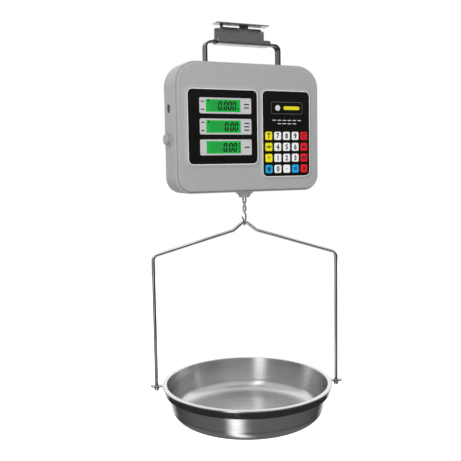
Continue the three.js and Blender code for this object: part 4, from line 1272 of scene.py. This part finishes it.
def swivel_eye():
    """Ring on a threaded stem."""
    eye = Span("swivel_eye")
    ring_radius, wire, shank = 7 * MM, 2 * MM, 3 * MM
    ring_z = eye.low.z + ring_radius + wire
    ring = ring_of(ring_radius, wire, (0, 0, ring_z))
    profile = [(0, ring_z + ring_radius)]
    z = ring_z + ring_radius
    pitch = 1.0 * MM
    while z < eye.high.z - pitch:
        profile += [(shank - 0.5 * MM, z), (shank, z + pitch / 2)]
        z += pitch
    profile += [(shank - 0.5 * MM, eye.high.z - 0.3 * MM), (shank - MM, eye.high.z), (0, eye.high.z)]
    stem = turned(profile, 32)
    piece("eye_bolt", [(hung(fused(ring, stem)), POLISHED)], "swivel", ["swivel_eye"])


# Radii of the hook's wire, twisted pair, eye and open loop, and how far the loop is turned about the load line.
HOOK = {"wire": 1.7 * MM, "twist": 2.4 * MM, "eye": 5 * MM, "loop": 6.2 * MM, "turn": math.radians(18)}


def curve_through(points, per_span):
    """Smooth path through points, by centripetal Catmull-Rom spans."""
    ends = [points[0] * 2 - points[1], *points, points[-1] * 2 - points[-2]]
    path = []
    for i in range(1, len(ends) - 2):
        p = ends[i - 1:i + 3]
        t = [0.0]
        for a, b in zip(p, p[1:]):
            t.append(t[-1] + max((b - a).length, 1e-9) ** 0.5)
        for k in range(per_span):
            s = t[1] + (t[2] - t[1]) * k / per_span
            a1 = p[0] * ((t[1] - s) / (t[1] - t[0])) + p[1] * ((s - t[0]) / (t[1] - t[0]))
            a2 = p[1] * ((t[2] - s) / (t[2] - t[1])) + p[2] * ((s - t[1]) / (t[2] - t[1]))
            a3 = p[2] * ((t[3] - s) / (t[3] - t[2])) + p[3] * ((s - t[2]) / (t[3] - t[2]))
            b1 = a1 * ((t[2] - s) / (t[2] - t[0])) + a2 * ((s - t[0]) / (t[2] - t[0]))
            b2 = a2 * ((t[3] - s) / (t[3] - t[1])) + a3 * ((s - t[1]) / (t[3] - t[1]))
            path.append(b1 * ((t[2] - s) / (t[2] - t[1])) + b2 * ((s - t[1]) / (t[2] - t[1])))
    return path + [points[-1]]


BAIL_WIRE = 3.15 * MM  # radius


def hook_path():
    """Up from the short end as half of the twisted pair, over the eye, down again and round the open loop."""
    eye_bolt, bail = Span("swivel_eye"), Span("pan_bail")
    wire, twist, eye, loop = HOOK["wire"], HOOK["twist"], HOOK["eye"], HOOK["loop"]
    pivot = eye_bolt.low.z + 2 * MM
    eye_z = pivot + 2 * MM + GAP + wire - eye
    twist_top, twist_bottom, short_end, half_pitch = -323.5 * MM, -349.5 * MM, -344 * MM, 14.5 * MM
    spread_from = -315 * MM

    def strand(z, side):
        angle = max(twist_top - z, 0) / half_pitch * math.pi
        spread = smooth((z - spread_from) / (eye_z - spread_from)) * (eye - twist)
        radius = side * (twist + spread)
        return Vector((radius * math.cos(angle), radius * math.sin(angle), z))

    points = []
    z, step, eye_steps, loop_steps = short_end, 2.4 * MM, 8, 8
    while z < eye_z:
        points.append(strand(z, -1))
        z += step
    for i in range(1, eye_steps):
        angle = math.pi - i * math.pi / eye_steps
        points.append(Vector((eye * math.cos(angle), 0, eye_z + eye * math.sin(angle))))
    z = eye_z
    while z > twist_bottom:
        points.append(strand(z, 1))
        z -= step
    apex = bail.high.z - BAIL_WIRE
    loop_z = apex - BAIL_WIRE - GAP + loop - wire
    across = Vector((math.sin(HOOK["turn"]), math.cos(HOOK["turn"]), 0))
    leaves_twist = Vector((2.4 * MM, 3.6 * MM, loop_z + 6.5 * MM))
    mouth = Vector((-2.6 * MM, -6.4 * MM, loop_z + 4.5 * MM))
    tip = Vector((-4.8 * MM, -7.8 * MM, loop_z + 9.5 * MM))
    points.append(leaves_twist)
    for i in range(loop_steps + 1):
        angle = -i * math.pi / loop_steps
        points.append(across * (loop * math.cos(angle)) + Vector((0, 0, loop_z + loop * math.sin(angle))))
    return points + [mouth, tip]


def twisted_hook():
    path = curve_through(hook_path(), 4)
    piece("wire_hook", [(hung(rod(path, HOOK["wire"], 16)), POLISHED)], "hook", ["s_hook"])


LEG_X = 173.3 * MM  # how far the bail's legs are from the load line
EAR_HOLE = 4.1 * MM  # radius
FOOT_BALL = 5 * MM  # radius


def pan_bail():
    """Round wire with a crown in the middle, ending in balls under the hoop's ears."""
    bail = Span("pan_bail")
    apex = bail.high.z - BAIL_WIRE
    knee_x, knee_slope, shoulder_slope = 22 * MM, math.radians(40), math.radians(16.7)
    knee_z = apex - 14.9 * MM
    peak = knee_z + math.tan(knee_slope) * knee_x
    peak_radius = (peak - apex) / (1 / math.cos(knee_slope) - 1)
    corner_z = knee_z - math.tan(shoulder_slope) * (LEG_X - knee_x)
    ball_z = bail.low.z + FOOT_BALL
    right = [(knee_x, knee_z), (LEG_X, corner_z), (LEG_X, ball_z)]
    left = [(-x, z) for x, z in reversed(right)]
    line = bent_line([*left, (0, peak), *right], [11 * MM, 14 * MM, peak_radius, 14 * MM, 11 * MM], 12)
    body = rod([Vector((x, 0, z)) for x, z in line], BAIL_WIRE, 24, dome=0)
    balls = []
    for side in (-1, 1):
        outline = arc((0, 0), FOOT_BALL, -QUARTER, QUARTER, 16)
        outline = [(0, -FOOT_BALL), *outline[1:-1], (0, FOOT_BALL)]
        balls.append(turned(outline, 32, (side * LEG_X, 0, ball_z)))
    piece("wire_bail", [(hung(fused(body, *balls)), POLISHED)], "bail", ["pan_bail"])


def pan_hoop():
    """Flat hoop with two ears."""
    hoop = Span("pan_hoop")
    inner, thickness = 156.2 * MM, 2 * MM
    top, height = hoop.high.z, 15 * MM
    edge = 0.8 * MM
    outer = inner + thickness
    near, far, high, low = inner + edge, outer - edge, top - edge, top - height + edge
    section = []
    for i, middle in enumerate(((far, high), (near, high), (near, low), (far, low))):
        section += arc(middle, edge, i * QUARTER, (i + 1) * QUARTER, 4)
    body = turned(section, 192, looped=True)
    ear_top, ear_thickness, ear_half, ear_tip = -673.4 * MM, 2.5 * MM, 6 * MM, 185 * MM
    ear_low, bevel = ear_top - ear_thickness, 0.4 * MM
    ears, holes = [], []
    for side in (-1, 1):
        root = inner + 0.8 * MM
        length = ear_tip - root + ear_half
        outline = rounded_outline(length, 2 * ear_half, ear_half, 10)
        middle = side * (ear_tip - length / 2)
        rings = []
        for z, inset in ((ear_low, bevel), (ear_low + bevel, 0), (ear_top - bevel, 0), (ear_top, bevel)):
            shrink = 1 - inset / ear_half
            rings.append([(middle + x * (1 - inset / (length / 2)), y * shrink, z) for x, y in outline])
        clear = drum(inner + 0.5 * MM, ear_top - 10 * MM, ear_top + 10 * MM, (0, 0, 0), "z", 0, 96)
        ears.append(cut(loft(rings), clear))
        holes.append(drum(EAR_HOLE, ear_top - 5 * MM, ear_top + 2 * MM, (side * LEG_X, 0, 0), "z"))
    body = cut(fused(body, *ears), *holes)
    piece("hoop_band", [(hung(body), HOOP_STEEL)], "hoop", ["pan_hoop"])


def weighing_pan():
    """Spun sheet with a rolled rim, a curved wall and a floor raised in the middle."""
    box = Span("pan")
    flange, bottom = box.high.z, box.low.z
    rim, mouth, sheet, lip = box.size.y / 2, 153.8 * MM, MM, 3 * MM
    wall_top, wall_low, low_z = 154.9 * MM, 145.4 * MM, flange - 44 * MM
    across, down = 33 * MM, bottom - low_z
    step_radius, step_height = 92 * MM, 2 * MM
    steps = 24

    def corner(offset, start, end):
        """Quarter of an ellipse between the wall and the floor."""
        middle, width, depth = wall_low - across, across - offset, down + offset
        angles = [start + (end - start) * i / steps for i in range(steps + 1)]
        return [(middle + width * math.cos(a), low_z + depth * math.sin(a)) for a in angles]

    def step_down(offset, rising):
        """Soft step from the raised middle of the floor."""
        points = []
        for i in range(7):
            t = i / 6
            z = bottom + offset + step_height * (1 - smooth(t))
            points.append((step_radius - 4 * MM + 5 * MM * t, z))
        return list(reversed(points)) if rising else points

    outside = [(0, bottom + step_height)] + step_down(0, False) + corner(0, QUARTER, 0)
    outside += [(wall_top, flange - sheet - 2 * MM), (wall_top + 0.8 * MM, flange - sheet)]
    roll = 1.6 * MM  # radius of the rolled rim
    under, within, bend = flange - sheet, rim - sheet, 0.6 * MM
    outside += [(within - bend, under), (within, under - bend), (within, flange - lip)]
    inside = [(rim, flange - lip)] + arc((rim - roll, flange - roll), roll, 0, QUARTER, 6)
    throat = 1.4 * MM
    inside += [(radius, z) for z, radius in round_over(flange, throat, mouth, side=-1)][::-1]
    inside += corner(sheet, 0, QUARTER) + step_down(sheet, True) + [(0, bottom + step_height + sheet)]
    body = turned(outside + inside, 256)
    piece("weighing_dish", [(hung(body), PAN_STEEL)], "weighing_pan", ["pan"])


# ---------- inner parts that stay as the frame has them ----------
def inner_parts():
    finishes = {
        "cross_beam": STRAP_STEEL,
        "strap_rivet_left": ZINC,
        "strap_rivet_right": ZINC,
        "load_cell": ALUMINIUM,
        "cell_spacer": ZINC,
        "cell_bolt_inner": ZINC,
        "cell_bolt_outer": ZINC,
        "display_board": BOARD,
        "keypad_board": BOARD,
        "main_board": BOARD,
        "battery": BATTERY_CASE,
        "thrust_washer": ZINC,
        "eye_nut": ZINC,
    }
    for name, material in finishes.items():
        node = frame["nodes"][name]
        node.data.materials.clear()
        node.data.materials.append(material)
        round_edges(node, 0.25 * MM)


make_camera()
make_world()
make_floor()
# Azimuth and elevation in degrees, distance, width and height in metres, power in watts.
softbox("key_light", -14, 22, 2.2, 1.0, 1.4, 24)
softbox("fill_light", 0, -60, 2.4, 1.2, 1.2, 34)
softbox("top_light", 10, 80, 2.0, 1.4, 1.4, 3)
bpy.context.scene.view_settings.view_transform = "Standard"

ceiling_bracket()
carry_strap()
front_cover()
rear_cover()
battery_door()
case_screws()
display_panel()
keypad_panel()
side_controls()
swivel_eye()
twisted_hook()
pan_bail()
pan_hoop()
weighing_pan()
inner_parts()
